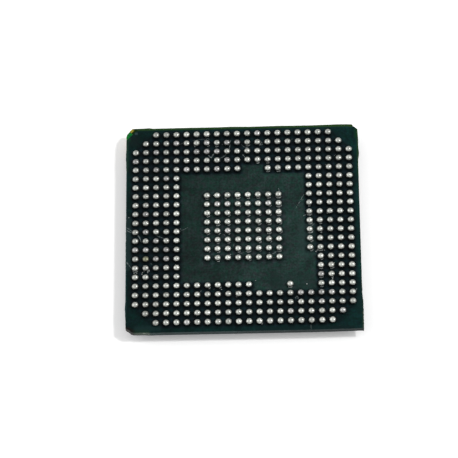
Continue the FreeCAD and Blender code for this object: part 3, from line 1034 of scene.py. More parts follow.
@dataclass
class MouldedCap:
    """The moulded cap that covers the die, with sloping sides and softly rounded edges."""

    flat_half: float = 9.0745
    height: float = 1.17
    draft_degrees: float = 30.0
    corner_cut: float = 1.1
    gate_cut: float = 1.9
    rounding: float = 0.11
    rounding_steps: int = 3
    rounding_degrees: float = 25.0
    dimple_radius: float = 0.75
    dimple_floor: float = 0.96
    dimple_depth: float = 0.08
    dimple_inset: float = 2.4
    dimple_sides: int = 48

    def outline(self, out: float) -> list[Point]:
        """The cap's outline, moved outwards.

        Args:
            out: Distance from the flat face's own outline.

        Returns:
            Eight points against the clock, seen from above.
        """
        half = self.flat_half + out
        grow = out * (2.0 - math.sqrt(2.0))
        cut = self.corner_cut + grow
        gate = self.gate_cut + grow
        return [
            (half - cut, -half), (half, -half + cut), (half, half - cut), (half - cut, half),
            (-half + gate, half), (-half, half - gate), (-half, -half + cut), (-half + cut, -half),
        ]

    def fill_flat(self, draft: Draft, flat: list[int], rim: list[int]) -> None:
        """Fills the flat face between its outline and the dimple's rim.

        Args:
            draft: The cap's piece.
            flat: Corners of the flat face's outline.
            rim: Corners of the dimple's rim.
        """
        count = len(rim)
        middle = Vector((draft.corners[rim[0]][0] - self.dimple_radius, draft.corners[rim[0]][1]))
        turns = []
        for corner in flat:
            x, y, _ = draft.corners[corner]
            angle = math.atan2(y - middle.y, x - middle.x) % (2.0 * math.pi)
            turns.append(round(angle / (2.0 * math.pi) * count) % count)
        for i, corner in enumerate(flat):
            j = (i + 1) % len(flat)
            step = turns[i]
            while step != turns[j]:
                draft.face((corner, rim[step], rim[(step + 1) % count]))
                step = (step + 1) % count
            draft.face((corner, rim[step], flat[j]))

    def build(self) -> None:
        """Makes the cap and puts it in place of the CAD cap."""
        slope = math.tan(math.radians(self.draft_degrees))
        draft = Draft("moulded_cap")
        flat = draft.ring(self.outline(0.0), 0.0)
        foot = draft.ring(self.outline(self.height * slope), self.height)
        draft.wall(flat, foot)
        draft.face(foot)
        place = self.flat_half - self.dimple_inset
        rim, floor = (
            draft.ring(around(-place, place, [self.dimple_radius * share] * self.dimple_sides), z)
            for share, z in ((1.0, 0.0), (self.dimple_floor, self.dimple_depth))
        )
        draft.wall(floor, rim)
        draft.face(floor[::-1])
        self.fill_flat(draft, flat, rim)
        made = draft.piece([MouldFinish("moulding_compound").make()], Slot.MOULD)
        bevel = made.modifiers.new("rounded_edges", "BEVEL")
        bevel.width = self.rounding * MM
        bevel.segments = self.rounding_steps
        bevel.limit_method = "ANGLE"
        bevel.angle_limit = math.radians(self.rounding_degrees)
        bevel.harden_normals = True
        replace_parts(made, "mould_cap")


@dataclass
class Relief:
    """What shows through the solder mask: copper fields, traces and covered vias as low relief."""

    field: tuple[int, int] = (4, SITE_COUNT - 4)
    centre: tuple[int, int] = (7, 15)
    pour_half: float = 6.0
    pour_rise: float = 0.005
    pour_skirt: float = 0.09
    rise: float = 0.007
    via_profile: tuple[Point, ...] = ((0.17, 0.0), (0.136, 1.0), (0.096, 1.0), (0.048, 0.3))
    via_sides: int = 12
    trace_width: float = 0.13
    trace_profile: tuple[Point, ...] = ((1.0, 0.0), (0.55, 1.0), (-0.55, 1.0), (-1.0, 0.0))
    trace_start: float = 0.42
    outer_limit: float = 10.9
    rim_traces: tuple[Spot, ...] = ((9.9, 10.45, 0.0), (10.45, 11.0, 0.5))
    rim_reach: int = 9
    rim_limit: float = 9.2

    def bare(self) -> set[tuple[int, int]]:
        """Sites over the copper field: the centre field and the sites without a ball round it.

        Returns:
            Each site's column and row, counted from the far left.
        """
        held = {(row, number) for row in range(SITE_COUNT) for number, _ in SolderBalls().sites(row)}
        every, inner = (
            {(column, row) for column in range(*span) for row in range(*span)}
            for span in (self.field, self.centre)
        )
        return (every - held) | inner

    def build_pour(self, finish: Material) -> None:
        """Makes the copper field under the bare square and the centre balls.

        Args:
            finish: The mask's material.
        """
        draft = Draft("copper_field_relief")
        cells = self.bare()
        for column, row in sorted(cells):
            x = FIRST_SITE + column * PITCH
            y = -FIRST_SITE - row * PITCH
            left, right = x - PITCH / 2, x + PITCH / 2
            near, far = y - PITCH / 2, y + PITCH / 2
            beside = ((column, row + 1), (column + 1, row), (column, row - 1), (column - 1, row))
            ends = [cell not in cells for cell in beside]
            near_in, right_in, far_in, left_in = (self.pour_skirt * end for end in ends)
            x0, x1 = left + left_in, right - right_in
            y0, y1 = near + near_in, far - far_in
            upper = draft.ring([(x0, y0), (x1, y0), (x1, y1), (x0, y1)], BALL_SEAT + self.pour_rise)
            draft.face(upper)
            low = draft.ring([(left, near), (right, near), (right, far), (left, far)], BALL_SEAT)
            for i, end in enumerate(ends):
                j = (i + 1) % len(ends)
                if end:
                    draft.face((low[i], low[j], upper[j], upper[i]))
        draft.piece([finish], Slot.MASK, smooth=False)

    def add_trace(self, draft: Draft, start: Point, end: Point, up: int) -> None:
        """Adds one covered trace as a low ridge, with a covered via at its end, a low ring with a dip.

        Args:
            draft: The piece.
            start: Where it starts.
            end: Where it ends.
            up: One on the ball side and minus one on the die side.
        """
        seat = BALL_SEAT if up > 0 else DIE_SIDE
        along = Vector((end[0] - start[0], end[1] - start[1])).normalized()
        side = Vector((-along.y, along.x)) * self.trace_width / 2
        rows = []
        for share, lift in self.trace_profile:
            z = seat + up * self.rise * lift
            rows.append([draft.corner(x + side.x * share, y + side.y * share, z) for x, y in (start, end)])
        for first, second in zip(rows, rows[1:]):
            corners = (first[0], second[0], second[1], first[1])
            draft.face(corners[::-1] if up > 0 else corners)
        rings = [
            draft.ring(around(*end, [radius] * self.via_sides), seat + up * self.rise * lift)
            for radius, lift in self.via_profile
        ]
        draft.lump(rings, hanging=up < 0)

    def build_ball_side(self, finish: Material) -> None:
        """Makes the traces and vias between the outer balls.

        Args:
            finish: The mask's material.
        """
        draft = Draft("traces_under_mask_ball_side")
        for row in range(SITE_COUNT):
            for _, (x, y) in SolderBalls().sites(row):
                step_x, step_y = math.copysign(PITCH / 2, x), math.copysign(PITCH / 2, y)
                via = (x + step_x, y + step_y)
                if max(abs(x), abs(y)) < self.pour_half or max(abs(via[0]), abs(via[1])) > self.outer_limit:
                    continue
                start = (x + step_x * self.trace_start, y + step_y * self.trace_start)
                self.add_trace(draft, start, via, 1)
        draft.piece([finish], Slot.MASK)

    def build_die_side(self, finish: Material) -> None:
        """Makes the traces and vias on the rim round the cap.

        Args:
            finish: The mask's material.
        """
        draft = Draft("traces_under_mask_die_side")
        for place in range(-self.rim_reach, self.rim_reach + 1):
            for near, far, offset in self.rim_traces:
                along = place + offset
                if abs(along) > self.rim_limit:
                    continue
                for c, s in ((1, 0), (0, 1), (-1, 0), (0, -1)):
                    start = (near * c - along * s, near * s + along * c)
                    end = (far * c - along * s, far * s + along * c)
                    self.add_trace(draft, start, end, -1)
        draft.piece([finish], Slot.MASK)


@dataclass(frozen=True)
class Scratch:
    """One scratch in the mask: its line on the board, its width, and whether it is bright."""

    line: tuple[Point, ...]
    width: float
    bright: bool = False


@dataclass(frozen=True)
class FluxRim:
    """Flux left round part of a ball's foot, from one angle to another against the clock."""

    ball: str
    start: float
    end: float
    strength: float


SCRATCHES: tuple[Scratch, ...] = tuple(Scratch(*row) for row in (
    (((-3.07, 7.92), (-2.95, 8.19), (-2.67, 8.48)), 0.13, True),
    (((-3.32, 8.22), (-3.20, 8.05), (-3.06, 7.90)), 0.10, True),
    (((-2.83, 8.33), (-2.62, 8.58), (-2.42, 8.78)), 0.08),
    (((-1.28, 8.75), (-1.42, 8.46), (-1.68, 8.19), (-1.98, 7.96), (-2.37, 7.82)), 0.10),
    (((-1.12, 9.96), (-1.20, 9.55), (-1.24, 9.09), (-1.28, 8.72)), 0.075, True),
    (((-3.25, 9.05), (-3.40, 8.85), (-3.62, 8.92)), 0.07),
    (((-2.46, 9.14), (-2.70, 9.02)), 0.06),
    (((-3.22, 10.06), (-3.40, 10.14), (-3.62, 10.03)), 0.06, True),
    (((-4.94, 9.97), (-4.24, 10.07), (-3.60, 10.12)), 0.04),
    (((-5.83, 9.71), (-6.13, 9.58)), 0.06),
    (((-10.34, -0.50), (-10.08, -0.98), (-9.94, -1.52)), 0.08, True),
    (((-10.30, -0.74), (-10.14, -0.96), (-10.00, -1.19)), 0.05, True),
    (((-11.40, 0.22), (-11.09, -0.02), (-10.84, -0.26)), 0.06, True),
    (((-11.40, -0.10), (-11.05, -0.32), (-10.82, -0.42)), 0.08, True),
    (((-11.40, -3.58), (-11.13, -3.99), (-10.88, -4.32)), 0.07, True),
    (((-8.60, -0.70), (-8.32, -0.84), (-8.10, -0.95), (-7.70, -1.10)), 0.06, True),
    (((-6.12, -0.30), (-5.74, -0.13), (-5.31, 0.15)), 0.07),
    (((6.05, 3.62), (5.72, 3.00), (5.42, 2.44), (5.17, 1.94)), 0.055, True),
    (((5.86, 1.11), (6.04, 1.20), (6.18, 1.28)), 0.06, True),
    (((6.72, 0.00), (6.96, 0.25)), 0.07, True),
    (((3.50, 4.42), (3.56, 4.15), (3.60, 3.86)), 0.07, True),
    (((-1.92, -0.72), (-1.70, -0.98)), 0.05, True),
    (((2.78, -3.10), (2.99, -2.96), (3.28, -2.72)), 0.06, True),
    (((2.88, -3.46), (3.14, -3.50)), 0.06, True),
    (((-0.14, 9.40), (0.20, 9.11), (0.69, 8.90)), 0.07),
    (((0.04, 8.22), (0.20, 8.02), (0.28, 7.84)), 0.10, True),
    (((-0.90, -1.86), (-0.95, -2.12)), 0.05, True),
    (((-0.44, -2.86), (-0.20, -2.90), (0.05, -2.84)), 0.06, True),
    (((-2.90, -6.86), (-2.84, -6.72)), 0.06),
    (((-4.10, -6.92), (-4.22, -7.16)), 0.06, True),
    (((6.43, -10.86), (6.43, -11.40)), 0.05),
    (((10.80, -7.22), (10.95, -7.02)), 0.08, True),
    (((1.86, 9.74), (2.02, 9.36), (1.78, 9.28)), 0.06, True),
    (((5.02, -8.09), (4.98, -7.90), (5.14, -7.76), (5.27, -7.90), (5.18, -8.07)), 0.06, True),
    (((-6.16, 0.02), (-6.05, -0.18)), 0.06),
    (((-0.72, -7.02), (-0.80, -7.20)), 0.05),
    (((-9.05, -3.84), (-8.86, -3.96)), 0.06),
))

FLUX_RIMS: tuple[FluxRim, ...] = tuple(FluxRim(*row) for row in (
    ("h8", -120, -60, 0.4), ("k8", -150, -100, 0.8), ("l8", -140, -20, 0.6), ("m8", -110, -40, 0.4),
    ("n8", -120, -50, 0.5), ("p8", -110, -40, 0.6), ("r8", -150, -20, 0.7), ("l9", -50, 10, 0.5),
    ("p9", -70, 10, 0.6), ("r9", -140, 0, 0.8), ("h10", -100, -20, 0.7), ("k10", -80, -10, 0.4),
    ("m10", -100, -40, 0.4), ("n10", -70, -10, 0.4), ("p10", -60, 0, 0.7), ("r10", -130, -30, 0.8),
    ("j11", -110, -20, 0.8), ("k11", -90, -20, 0.5), ("n11", -100, -20, 0.7), ("p11", -110, -30, 0.6),
    ("r11", -80, -10, 0.8), ("h12", -90, -20, 0.4), ("j12", -70, -10, 0.5), ("k12", -80, -30, 0.4),
    ("p12", -120, -30, 0.7), ("r12", -75, 15, 1.0), ("j13", -110, -50, 0.4), ("k13", -90, -30, 0.5),
    ("n13", -85, -15, 1.0), ("p13", -60, -10, 0.4), ("h14", -60, -10, 0.3), ("j14", -100, -30, 0.6),
    ("l14", -100, -30, 0.6), ("m14", -150, -30, 0.7), ("n14", -70, -20, 0.4), ("r14", -130, -50, 0.8),
    ("j15", -100, -50, 0.4), ("k15", 40, 100, 0.5), ("m15", -80, -30, 0.4), ("v9", -110, -60, 0.4),
    ("v10", -140, -30, 0.7), ("v11", -120, -20, 0.7), ("v12", -125, 5, 1.0), ("v13", -80, 0, 1.0),
    ("v14", -90, -15, 1.0), ("w11", -100, -50, 0.4), ("w12", -90, -50, 0.3), ("w14", -165, -35, 0.7),
    ("w15", -90, -30, 0.5), ("w16", -130, -50, 0.7), ("y16", -110, -20, 0.7), ("w17", -120, -40, 0.5),
    ("y17", -90, -50, 0.9), ("w18", -110, -50, 0.4), ("a16", -150, -40, 0.6), ("b16", -60, 0, 0.8),
    ("e12", 50, 110, 0.6), ("h18", -70, -20, 0.4), ("j18", -60, 0, 0.7), ("h2", -80, -20, 0.3),
    ("g2", -160, -110, 0.4), ("j2", -120, -60, 0.2), ("m2", -120, -30, 0.35), ("n2", -50, 10, 0.9),
    ("p5", -120, -40, 0.5), ("r5", -120, -40, 0.6), ("n4", -120, -50, 0.4), ("p4", -120, -60, 0.3),
    ("t18", -130, -40, 0.3), ("n22", -60, -20, 0.4), ("l19", -160, -120, 0.4), ("y10", 160, 220, 0.4),
))


@dataclass
class Marks:
    """What handling and soldering have left on the mask: scratches, flux and flakes."""

    seed: int = 23
    seat: float = BALL_SEAT + 0.009
    crest: float = 0.004
    step: float = 0.06
    sway: float = 0.018
    scratch_width: Point = (0.45, 1.1)
    scratch_taper: float = 0.5
    gap_chance: float = 0.10
    ball_radius: float = 0.327
    ball_middle: float = 0.237
    rim_reach: float = 0.38
    rim_height: float = 0.16
    rim_step: float = 7.5
    rim_overlap: float = 0.008
    rim_taper: float = 0.6
    rim_noise: Point = (3.0, 2.6)
    rim_amount: Point = (0.95, 0.35)
    rim_tallness: Point = (0.4, 0.6)
    rim_spread: Point = (0.82, 0.18)
    rim_sway: float = 0.012
    rim_profile: tuple[Point, ...] = ((0.0, 1.0), (0.25, 0.92), (0.62, 0.62), (0.88, 0.28), (1.0, 0.0))
    flake_sides: int = 9
    flake_reach: Point = (0.55, 1.1)
    flake_rise: Point = (0.8, 1.2)
    flake_profile: tuple[Point, ...] = ((1.0, 0.0), (0.8, 0.30), (0.4, 0.45))
    flakes: tuple[Spot, ...] = (
        (-9.86, -5.02, 0.09), (-9.80, -4.84, 0.07), (-9.62, -4.70, 0.06), (-9.30, -4.84, 0.07),
        (-9.16, -4.66, 0.08), (-10.62, -4.90, 0.06), (-10.36, -4.93, 0.05), (7.06, -2.86, 0.09),
        (7.18, -2.74, 0.08), (7.88, -2.76, 0.07), (6.11, -6.45, 0.08),
        (8.60, -5.92, 0.07), (0.48, 9.02, 0.06), (-11.17, 1.31, 0.05), (1.15, -5.96, 0.05),
        (-2.16, -6.86, 0.06), (-1.25, -3.02, 0.07), (5.90, 2.96, 0.03), (-1.95, 9.46, 0.04),
        (2.52, -2.92, 0.04), (4.95, 9.90, 0.04), (9.12, 7.92, 0.04), (-4.62, 8.96, 0.05),
    )

    def add_scratch(self, draft: Draft, scratch: Scratch, chance: random.Random) -> None:
        """Adds one scratch as a thin strip that sways, narrows at its ends and breaks off here and there.

        Args:
            draft: The piece.
            scratch: The scratch.
            chance: Source of the small differences.
        """
        points: list[Vector] = []
        for start, end in zip(scratch.line, scratch.line[1:]):
            first, second = Vector(start), Vector(end)
            count = max(1, round((second - first).length / self.step))
            points.extend(first.lerp(second, i / count) for i in range(count))
        points.append(Vector(scratch.line[-1]))
        last = None
        for i, point in enumerate(points):
            ahead = points[min(i + 1, len(points) - 1)] - points[max(i - 1, 0)]
            side = Vector((-ahead.y, ahead.x)).normalized()
            taper = math.sin(math.pi * (i + 0.5) / len(points)) ** self.scratch_taper
            half = scratch.width / 2 * taper * chance.uniform(*self.scratch_width)
            middle = point + side * chance.uniform(-self.sway, self.sway)
            row = [
                draft.corner(*(middle + side * half), self.seat),
                draft.corner(*middle, self.seat + self.crest),
                draft.corner(*(middle - side * half), self.seat),
            ]
            if last is not None and chance.random() > self.gap_chance:
                draft.strip(last, row, int(scratch.bright))
            last = row

    def build_scratches(self) -> None:
        """Makes every scratch."""
        chance = random.Random(self.seed)
        draft = Draft("mask_scratches")
        for scratch in SCRATCHES:
            self.add_scratch(draft, scratch, chance)
        scuffed = GrainFinish("scuffed_mask", (0.050, 0.070, 0.070), (0.080, 0.102, 0.101), 0.10, 0.5)
        scraped = GrainFinish("scraped_mask", (0.100, 0.132, 0.132), (0.19, 0.22, 0.22), 0.10, 0.45)
        draft.piece([scuffed.make(), scraped.make()], Slot.MASK)

    def add_rim(self, draft: Draft, rim: FluxRim) -> None:
        """Adds flux round part of a ball's foot, a fillet against the ball that thins out at both ends.

        Args:
            draft: The piece.
            rim: The flux.
        """
        letters = rim.ball.rstrip("0123456789")
        x = FIRST_SITE + ROW_NAMES.index(letters) * PITCH
        y = -FIRST_SITE - (int(rim.ball[len(letters):]) - 1) * PITCH
        count = max(3, round((rim.end - rim.start) / self.rim_step))
        scale, turn_scale = self.rim_noise
        last = None
        for i in range(count + 1):
            turn = math.radians(rim.start + (rim.end - rim.start) * i / count)
            taper = math.sin(math.pi * (i + 0.4) / (count + 0.8)) ** self.rim_taper
            drift = noise.noise(Vector((x * scale, y * scale, turn * turn_scale)))
            amount = taper * rim.strength * (self.rim_amount[0] + self.rim_amount[1] * drift)
            tall = self.rim_height * (self.rim_tallness[0] + self.rim_tallness[1] * amount)
            far = self.rim_reach * (self.rim_spread[0] + self.rim_spread[1] * amount)
            far += self.rim_sway * drift
            ball = math.sqrt(self.ball_radius**2 - (self.ball_middle - tall) ** 2)
            row = []
            for share, rise in self.rim_profile:
                reach = ball - self.rim_overlap + (far - ball) * share
                z = BALL_SEAT + tall * rise
                row.append(draft.corner(x + reach * math.cos(turn), y + reach * math.sin(turn), z))
            if last is not None:
                draft.strip(last, row)
            last = row

    def add_flake(self, draft: Draft, flake: Spot, chance: random.Random) -> None:
        """Adds one flake, a low lump with an uneven outline.

        Args:
            draft: The piece.
            flake: Its place on the board and its radius.
            chance: Source of the small differences.
        """
        x, y, size = flake
        reaches = [size * chance.uniform(*self.flake_reach) for _ in range(self.flake_sides)]
        rows = []
        for share, rise in self.flake_profile:
            points = around(x, y, [reach * share for reach in reaches])
            rows.append(draft.ring(points, BALL_SEAT + size * rise * chance.uniform(*self.flake_rise)))
        draft.lump(rows)

    def build_flux(self) -> None:
        """Makes the flux rims and the flakes."""
        chance = random.Random(self.seed + 1)
        draft = Draft("flux_residue")
        for rim in FLUX_RIMS:
            self.add_rim(draft, rim)
        for flake in self.flakes:
            self.add_flake(draft, flake, chance)
        flux = GrainFinish("dried_flux", (0.17, 0.19, 0.185), (0.40, 0.43, 0.42), 0.30, 0.34, 0.5, 0.002)
        draft.piece([flux.make()], Slot.MASK)


@dataclass
class CornerBreak:
    """Green resin laid bare at the first ball's corner, in the chip that the cut left."""

    rim: tuple[Point, ...] = (
        (-11.48, 10.36), (-11.49, 10.56), (-11.465, 10.74), (-11.40, 10.87), (-11.32, 11.01),
        (-11.22, 11.11), (-11.135, 11.21), (-11.04, 11.26),
    )
    inset: float = 0.37
    profile: tuple[Point, ...] = (
        (0.0, DIE_SIDE + 0.06), (0.06, BALL_SEAT - 0.13), (0.45, BALL_SEAT - 0.071),
        (1.0, BALL_SEAT - 0.012), (1.25, BALL_SEAT - 0.072),
    )
    rough: float = 0.022
    rough_height: float = 0.8
    seed: int = 5

    def build(self) -> None:
        """Makes the broken resin."""
        chance = random.Random(self.seed)
        draft = Draft("corner_resin")
        last = None
        lean = Vector((1.0, -1.0)).normalized()
        for x, y in self.rim:
            row = []
            for share, height in self.profile:
                inwards = lean * self.inset * share
                sway = self.rough * (share > 0.0)
                row.append(
                    draft.corner(
                        x + inwards.x + chance.uniform(-sway, sway),
                        y + inwards.y + chance.uniform(-sway, sway),
                        height + chance.uniform(-sway, sway) * self.rough_height,
                    )
                )
            if last is not None:
                for j in range(len(row) - 1):
                    draft.face((last[j + 1], last[j], row[j], row[j + 1]))
            last = row
        resin = GrainFinish("bare_resin", (0.003, 0.090, 0.018), (0.010, 0.180, 0.026), 0.22, 0.6, 0.03)
        draft.piece([resin.make()], Slot.LAMINATE, smooth=False)


@dataclass(frozen=True)
class FrayedStretch:
    """A stretch of the board's edge where the glass is frayed.

    Attributes:
        start: Where it starts.
        end: Where it ends.
        out: The way out of the board.
        reach: How far it stands out.
        finish: Number of its finish.
        inset: How far it reaches into the board.
        drop: How far it lies below the mask's face, at its start and at its end.
    """

    start: Point
    end: Point
    out: Point
    reach: float
    finish: int = 0
    inset: float = 0.05
    drop: Point = (0.0, 0.0)


@dataclass
class FrayedEdges:
    """Splinters of glass and resin on the board's edge, just under the solder mask."""

    stretches: tuple[FrayedStretch, ...] = (
        FrayedStretch((11.43, -6.4), (11.43, -7.6), (1.0, 0.0), 0.03),
        FrayedStretch((11.49, -8.2), (11.49, -11.2), (1.0, 0.0), 0.05),
        FrayedStretch((-10.75, -11.39), (-9.85, -11.41), (0.0, -1.0), 0.04, 1, 0.05, (0.0, 0.08)),
        FrayedStretch((-9.75, -11.41), (-9.10, -11.43), (0.0, -1.0), 0.08, 2, 0.12, (0.08, 0.24)),
        FrayedStretch((-11.45, -4.6), (-11.45, 1.0), (-1.0, 0.0), 0.03),
    )
    step: float = 0.09
    top: float = BALL_SEAT + 0.004
    low: float = BALL_SEAT - 0.14
    lengths: tuple[float, ...] = (0.2, 0.35, 0.5, 0.8, 1.0)
    jitter: float = 0.3
    taper: float = 0.4
    inset_shares: Point = (0.3, 1.0)
    edge_drops: Point = (0.0, 0.02)
    tip_drops: Point = (0.03, 0.07)
    foot_rises: Point = (0.0, 0.05)
    seed: int = 41

    def add_stretch(self, draft: Draft, stretch: FrayedStretch, chance: random.Random) -> None:
        """Adds one stretch, a ragged strip with splinters of uneven length.

        Args:
            draft: The piece.
            stretch: The stretch.
            chance: Source of the small differences.
        """
        start, end, out = Vector(stretch.start), Vector(stretch.end), Vector(stretch.out)
        count = max(2, round((end - start).length / self.step))
        last = None
        for i in range(count + 1):
            share = min(1.0, max(0.0, (i + chance.uniform(-self.jitter, self.jitter)) / count))
            place = start.lerp(end, share)
            ends = math.sin(math.pi * (i + 0.5) / (count + 1)) ** self.taper
            reach = stretch.reach * ends * chance.choice(self.lengths)
            inner = place - out * stretch.inset * chance.uniform(*self.inset_shares)
            tip = place + out * reach
            drop = stretch.drop[0] + share * (stretch.drop[1] - stretch.drop[0])
            top, low = self.top - drop, self.low - drop
            row = [
                draft.corner(*inner, top),
                draft.corner(*place, top - chance.uniform(*self.edge_drops)),
                draft.corner(*tip, top - chance.uniform(*self.tip_drops)),
                draft.corner(*place, low + chance.uniform(*self.foot_rises)),
            ]
            if last is not None:
                for j in range(len(row) - 1):
                    draft.face((last[j], row[j], row[j + 1], last[j + 1]), stretch.finish)
            last = row

    def build(self) -> None:
        """Makes every stretch."""
        chance = random.Random(self.seed)
        draft = Draft("frayed_edges")
        for stretch in self.stretches:
            self.add_stretch(draft, stretch, chance)
        glass = GrainFinish("frayed_glass", (0.012, 0.036, 0.030), (0.105, 0.115, 0.085), 0.16, 0.6, 0.1)
        resin = GrainFinish("frayed_resin", (0.016, 0.050, 0.028), (0.120, 0.170, 0.115), 0.20, 0.6, 0.1)
        pale = GrainFinish("pale_splinters", (0.20, 0.24, 0.19), (0.36, 0.42, 0.34), 0.14, 0.6, 0.1)
        draft.piece([glass.make(), resin.make(), pale.make()], Slot.LAMINATE, smooth=False)


@dataclass
class PunchedBoard:
    """The board's layers, cut as the photograph shows them: worn corners, a near side without shoulders."""

    near: tuple[Point, ...] = (
        (-11.28, -10.99), (-11.09, -11.09), (-10.98, -11.21), (-10.88, -11.33), (-10.70, -11.39),
        (-10.30, -11.41), (-9.60, -11.41), (-9.30, -11.44), (-8.60, -11.44), (-6.00, -11.43),
        (6.00, -11.43), (8.30, -11.41), (9.40, -11.39), (10.50, -11.38), (11.10, -11.35),
    )
    right: tuple[Point, ...] = (
        (11.50, -11.37), (11.49, -11.26), (11.485, -10.80), (11.50, -10.10), (11.49, -9.80),
        (11.52, -9.50), (11.50, -9.00), (11.51, -8.50), (11.47, -8.10), (11.45, -7.80),
        (11.43, -7.50), (11.43, 7.60), (11.46, 7.80), (11.50, 8.00), (11.535, 8.20),
        (11.53, 8.40), (11.49, 8.60), (11.48, 9.00), (11.49, 9.50), (11.485, 10.00),
        (11.47, 10.30), (11.45, 10.70), (11.44, 10.93), (11.31, 11.02), (11.15, 11.20),
    )
    far: tuple[Point, ...] = (
        (11.03, 11.25), (10.96, 11.38), (10.87, 11.48), (10.50, 11.50), (9.30, 11.51),
        (8.60, 11.49), (7.80, 11.48), (7.20, 11.46), (5.00, 11.455), (3.50, 11.475),
        (2.00, 11.45), (0.50, 11.44), (-0.90, 11.48), (-2.40, 11.45), (-5.40, 11.455),
        (-8.30, 11.44), (-8.85, 11.43), (-9.05, 11.48), (-9.25, 11.51), (-9.45, 11.485),
        (-10.20, 11.46),
    )
    left: tuple[Point, ...] = (
        (-11.46, 10.08), (-11.475, 9.80), (-11.47, 9.00), (-11.50, 8.50), (-11.50, 8.00),
        (-11.48, 7.50), (-11.45, 6.50), (-11.45, -8.00), (-11.485, -8.40), (-11.49, -8.80),
        (-11.47, -9.20), (-11.465, -9.60), (-11.43, -9.80), (-11.425, -10.50), (-11.42, -10.85),
    )
    corner_side: float = 11.455
    cut_reach: float = 22.31
    chip_start: float = 0.002
    chip_depth: float = 0.5
    mark_reach: float = 21.626
    mark_width: float = 0.62
    mark_bevel: float = 0.006
    gate_width: float = 1.5
    step: float = 0.22
    sway: float = 0.012
    sway_scale: float = 2.1
    sway_slice: float = 3.0
    layer_sway: float = 0.004
    layer_scale: float = 5.0
    layer_slice: float = 7.0

    def worn(self, points: tuple[Point, ...], layer: int) -> list[Point]:
        """Splits a side into short runs and lets it sway a little.

        Args:
            points: The side.
            layer: Number of the layer, each of which sways by itself too.

        Returns:
            The finer side.
        """
        made: list[Point] = []
        for start, end in zip(points, points[1:] + points[-1:]):
            first, second = Vector(start), Vector(end)
            length = (second - first).length
            for i in range(max(1, round(length / self.step))):
                place = first.lerp(second, i * self.step / max(self.step, length))
                rough = noise.noise(Vector((*(place * self.sway_scale), self.sway_slice))) * self.sway
                slice_place = Vector((*(place * self.layer_scale), self.layer_slice + layer))
                rough += noise.noise(slice_place) * self.layer_sway
                out = place.normalized()
                made.append((place.x + out.x * rough, place.y + out.y * rough))
        return made

    def from_diagonal(self, reach: float, across: float = 0.0) -> Point:
        """A place near the first ball's corner.

        Args:
            reach: Its Y less its X.
            across: How far it lies to the far side of the diagonal.

        Returns:
            The place.
        """
        both = across * math.sqrt(2)
        return ((both - reach) / 2, (both + reach) / 2)

    def beside_mark(self) -> list[Point]:
        """The corner mark's three corners towards the board, from the far side inwards."""
        both = self.mark_width * math.sqrt(2)
        return [
            (both - self.corner_side, self.corner_side),
            self.from_diagonal(self.mark_reach, self.mark_width),
            self.from_diagonal(self.mark_reach),
        ]

    def cut(self) -> list[Point]:
        """The sound half of the first corner's cut, from the far side to the diagonal."""
        return [(self.corner_side - self.cut_reach, self.corner_side), self.from_diagonal(self.cut_reach)]

    def chip(self, z: float) -> list[Point]:
        """The chipped half of the cut, from the diagonal to the left side.

        Args:
            z: The height.

        Returns:
            The points.
        """
        slope = self.chip_depth / (BALL_SEAT - DIE_SIDE)
        reach = self.cut_reach - math.sqrt(2) * (self.chip_start + slope * (z - DIE_SIDE))
        return [self.from_diagonal(reach), (-self.corner_side, reach - self.corner_side)]

    def beside_gate(self) -> list[Point]:
        """The slot of the plated strip in the die side's mask.

        Returns:
            The points, from the far side round to the left side.
        """
        both = self.gate_width / 2 * math.sqrt(2)
        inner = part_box("gate_strip")[1].x / MM
        return [
            (both - self.corner_side, self.corner_side),
            (inner, both - inner),
            (inner - both, -inner),
            (-self.corner_side, self.corner_side - both),
        ]

    def add_layer(
        self,
        draft: Draft,
        layer: int,
        node: str,
        corner: Callable[[float], list[Point]],
        finish: int = 0,
    ) -> None:
        """Adds one layer of the board.

        Args:
            draft: The piece.
            layer: Number of the layer.
            node: The CAD node whose heights it takes.
            corner: What gives the first corner's outline at a height.
            finish: Number of the finish.
        """
        before = [point for side in (self.near, self.right, self.far) for point in self.worn(side, layer)]
        after = self.worn(self.left, layer)
        under, upper = (draft.ring(before + corner(z) + after, z) for z in (bottom_of(node), top_of(node)))
        draft.slab(under, upper, finish)

    def build_masks(self, mask: Material, under: Material) -> None:
        """Makes the solder mask of both sides.

        Args:
            mask: Finish of the ball side.
            under: Finish of the die side.
        """
        upper = Draft("board_mask_ball_side")
        self.add_layer(upper, 1, "solder_mask_ball_side", lambda z: self.beside_mark() + self.chip(z))
        lower = Draft("board_mask_die_side")
        self.add_layer(lower, 5, "solder_mask_die_side", lambda z: self.beside_gate())
        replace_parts(upper.piece([mask], Slot.MASK, smooth=False), "solder_mask_ball_side")
        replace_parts(lower.piece([under], Slot.MASK, smooth=False), "solder_mask_die_side")

    def build_laminate(self) -> None:
        """Makes the core and the two layers of prepreg."""
        draft = Draft("board_laminate")
        for layer, node, finish in ((2, "prepreg_ball_side", 1), (3, "core", 0), (4, "prepreg_die_side", 1)):
            self.add_layer(draft, layer, node, lambda z: self.cut() + self.chip(z), finish)
        core = LaminateFinish("laminate_core").make()
        prepreg = LaminateFinish("laminate_prepreg", (0.010, 0.026, 0.026), (0.046, 0.078, 0.076)).make()
        made = draft.piece([core, prepreg], Slot.LAMINATE, smooth=False)
        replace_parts(made, "prepreg_ball_side", "core", "prepreg_die_side")

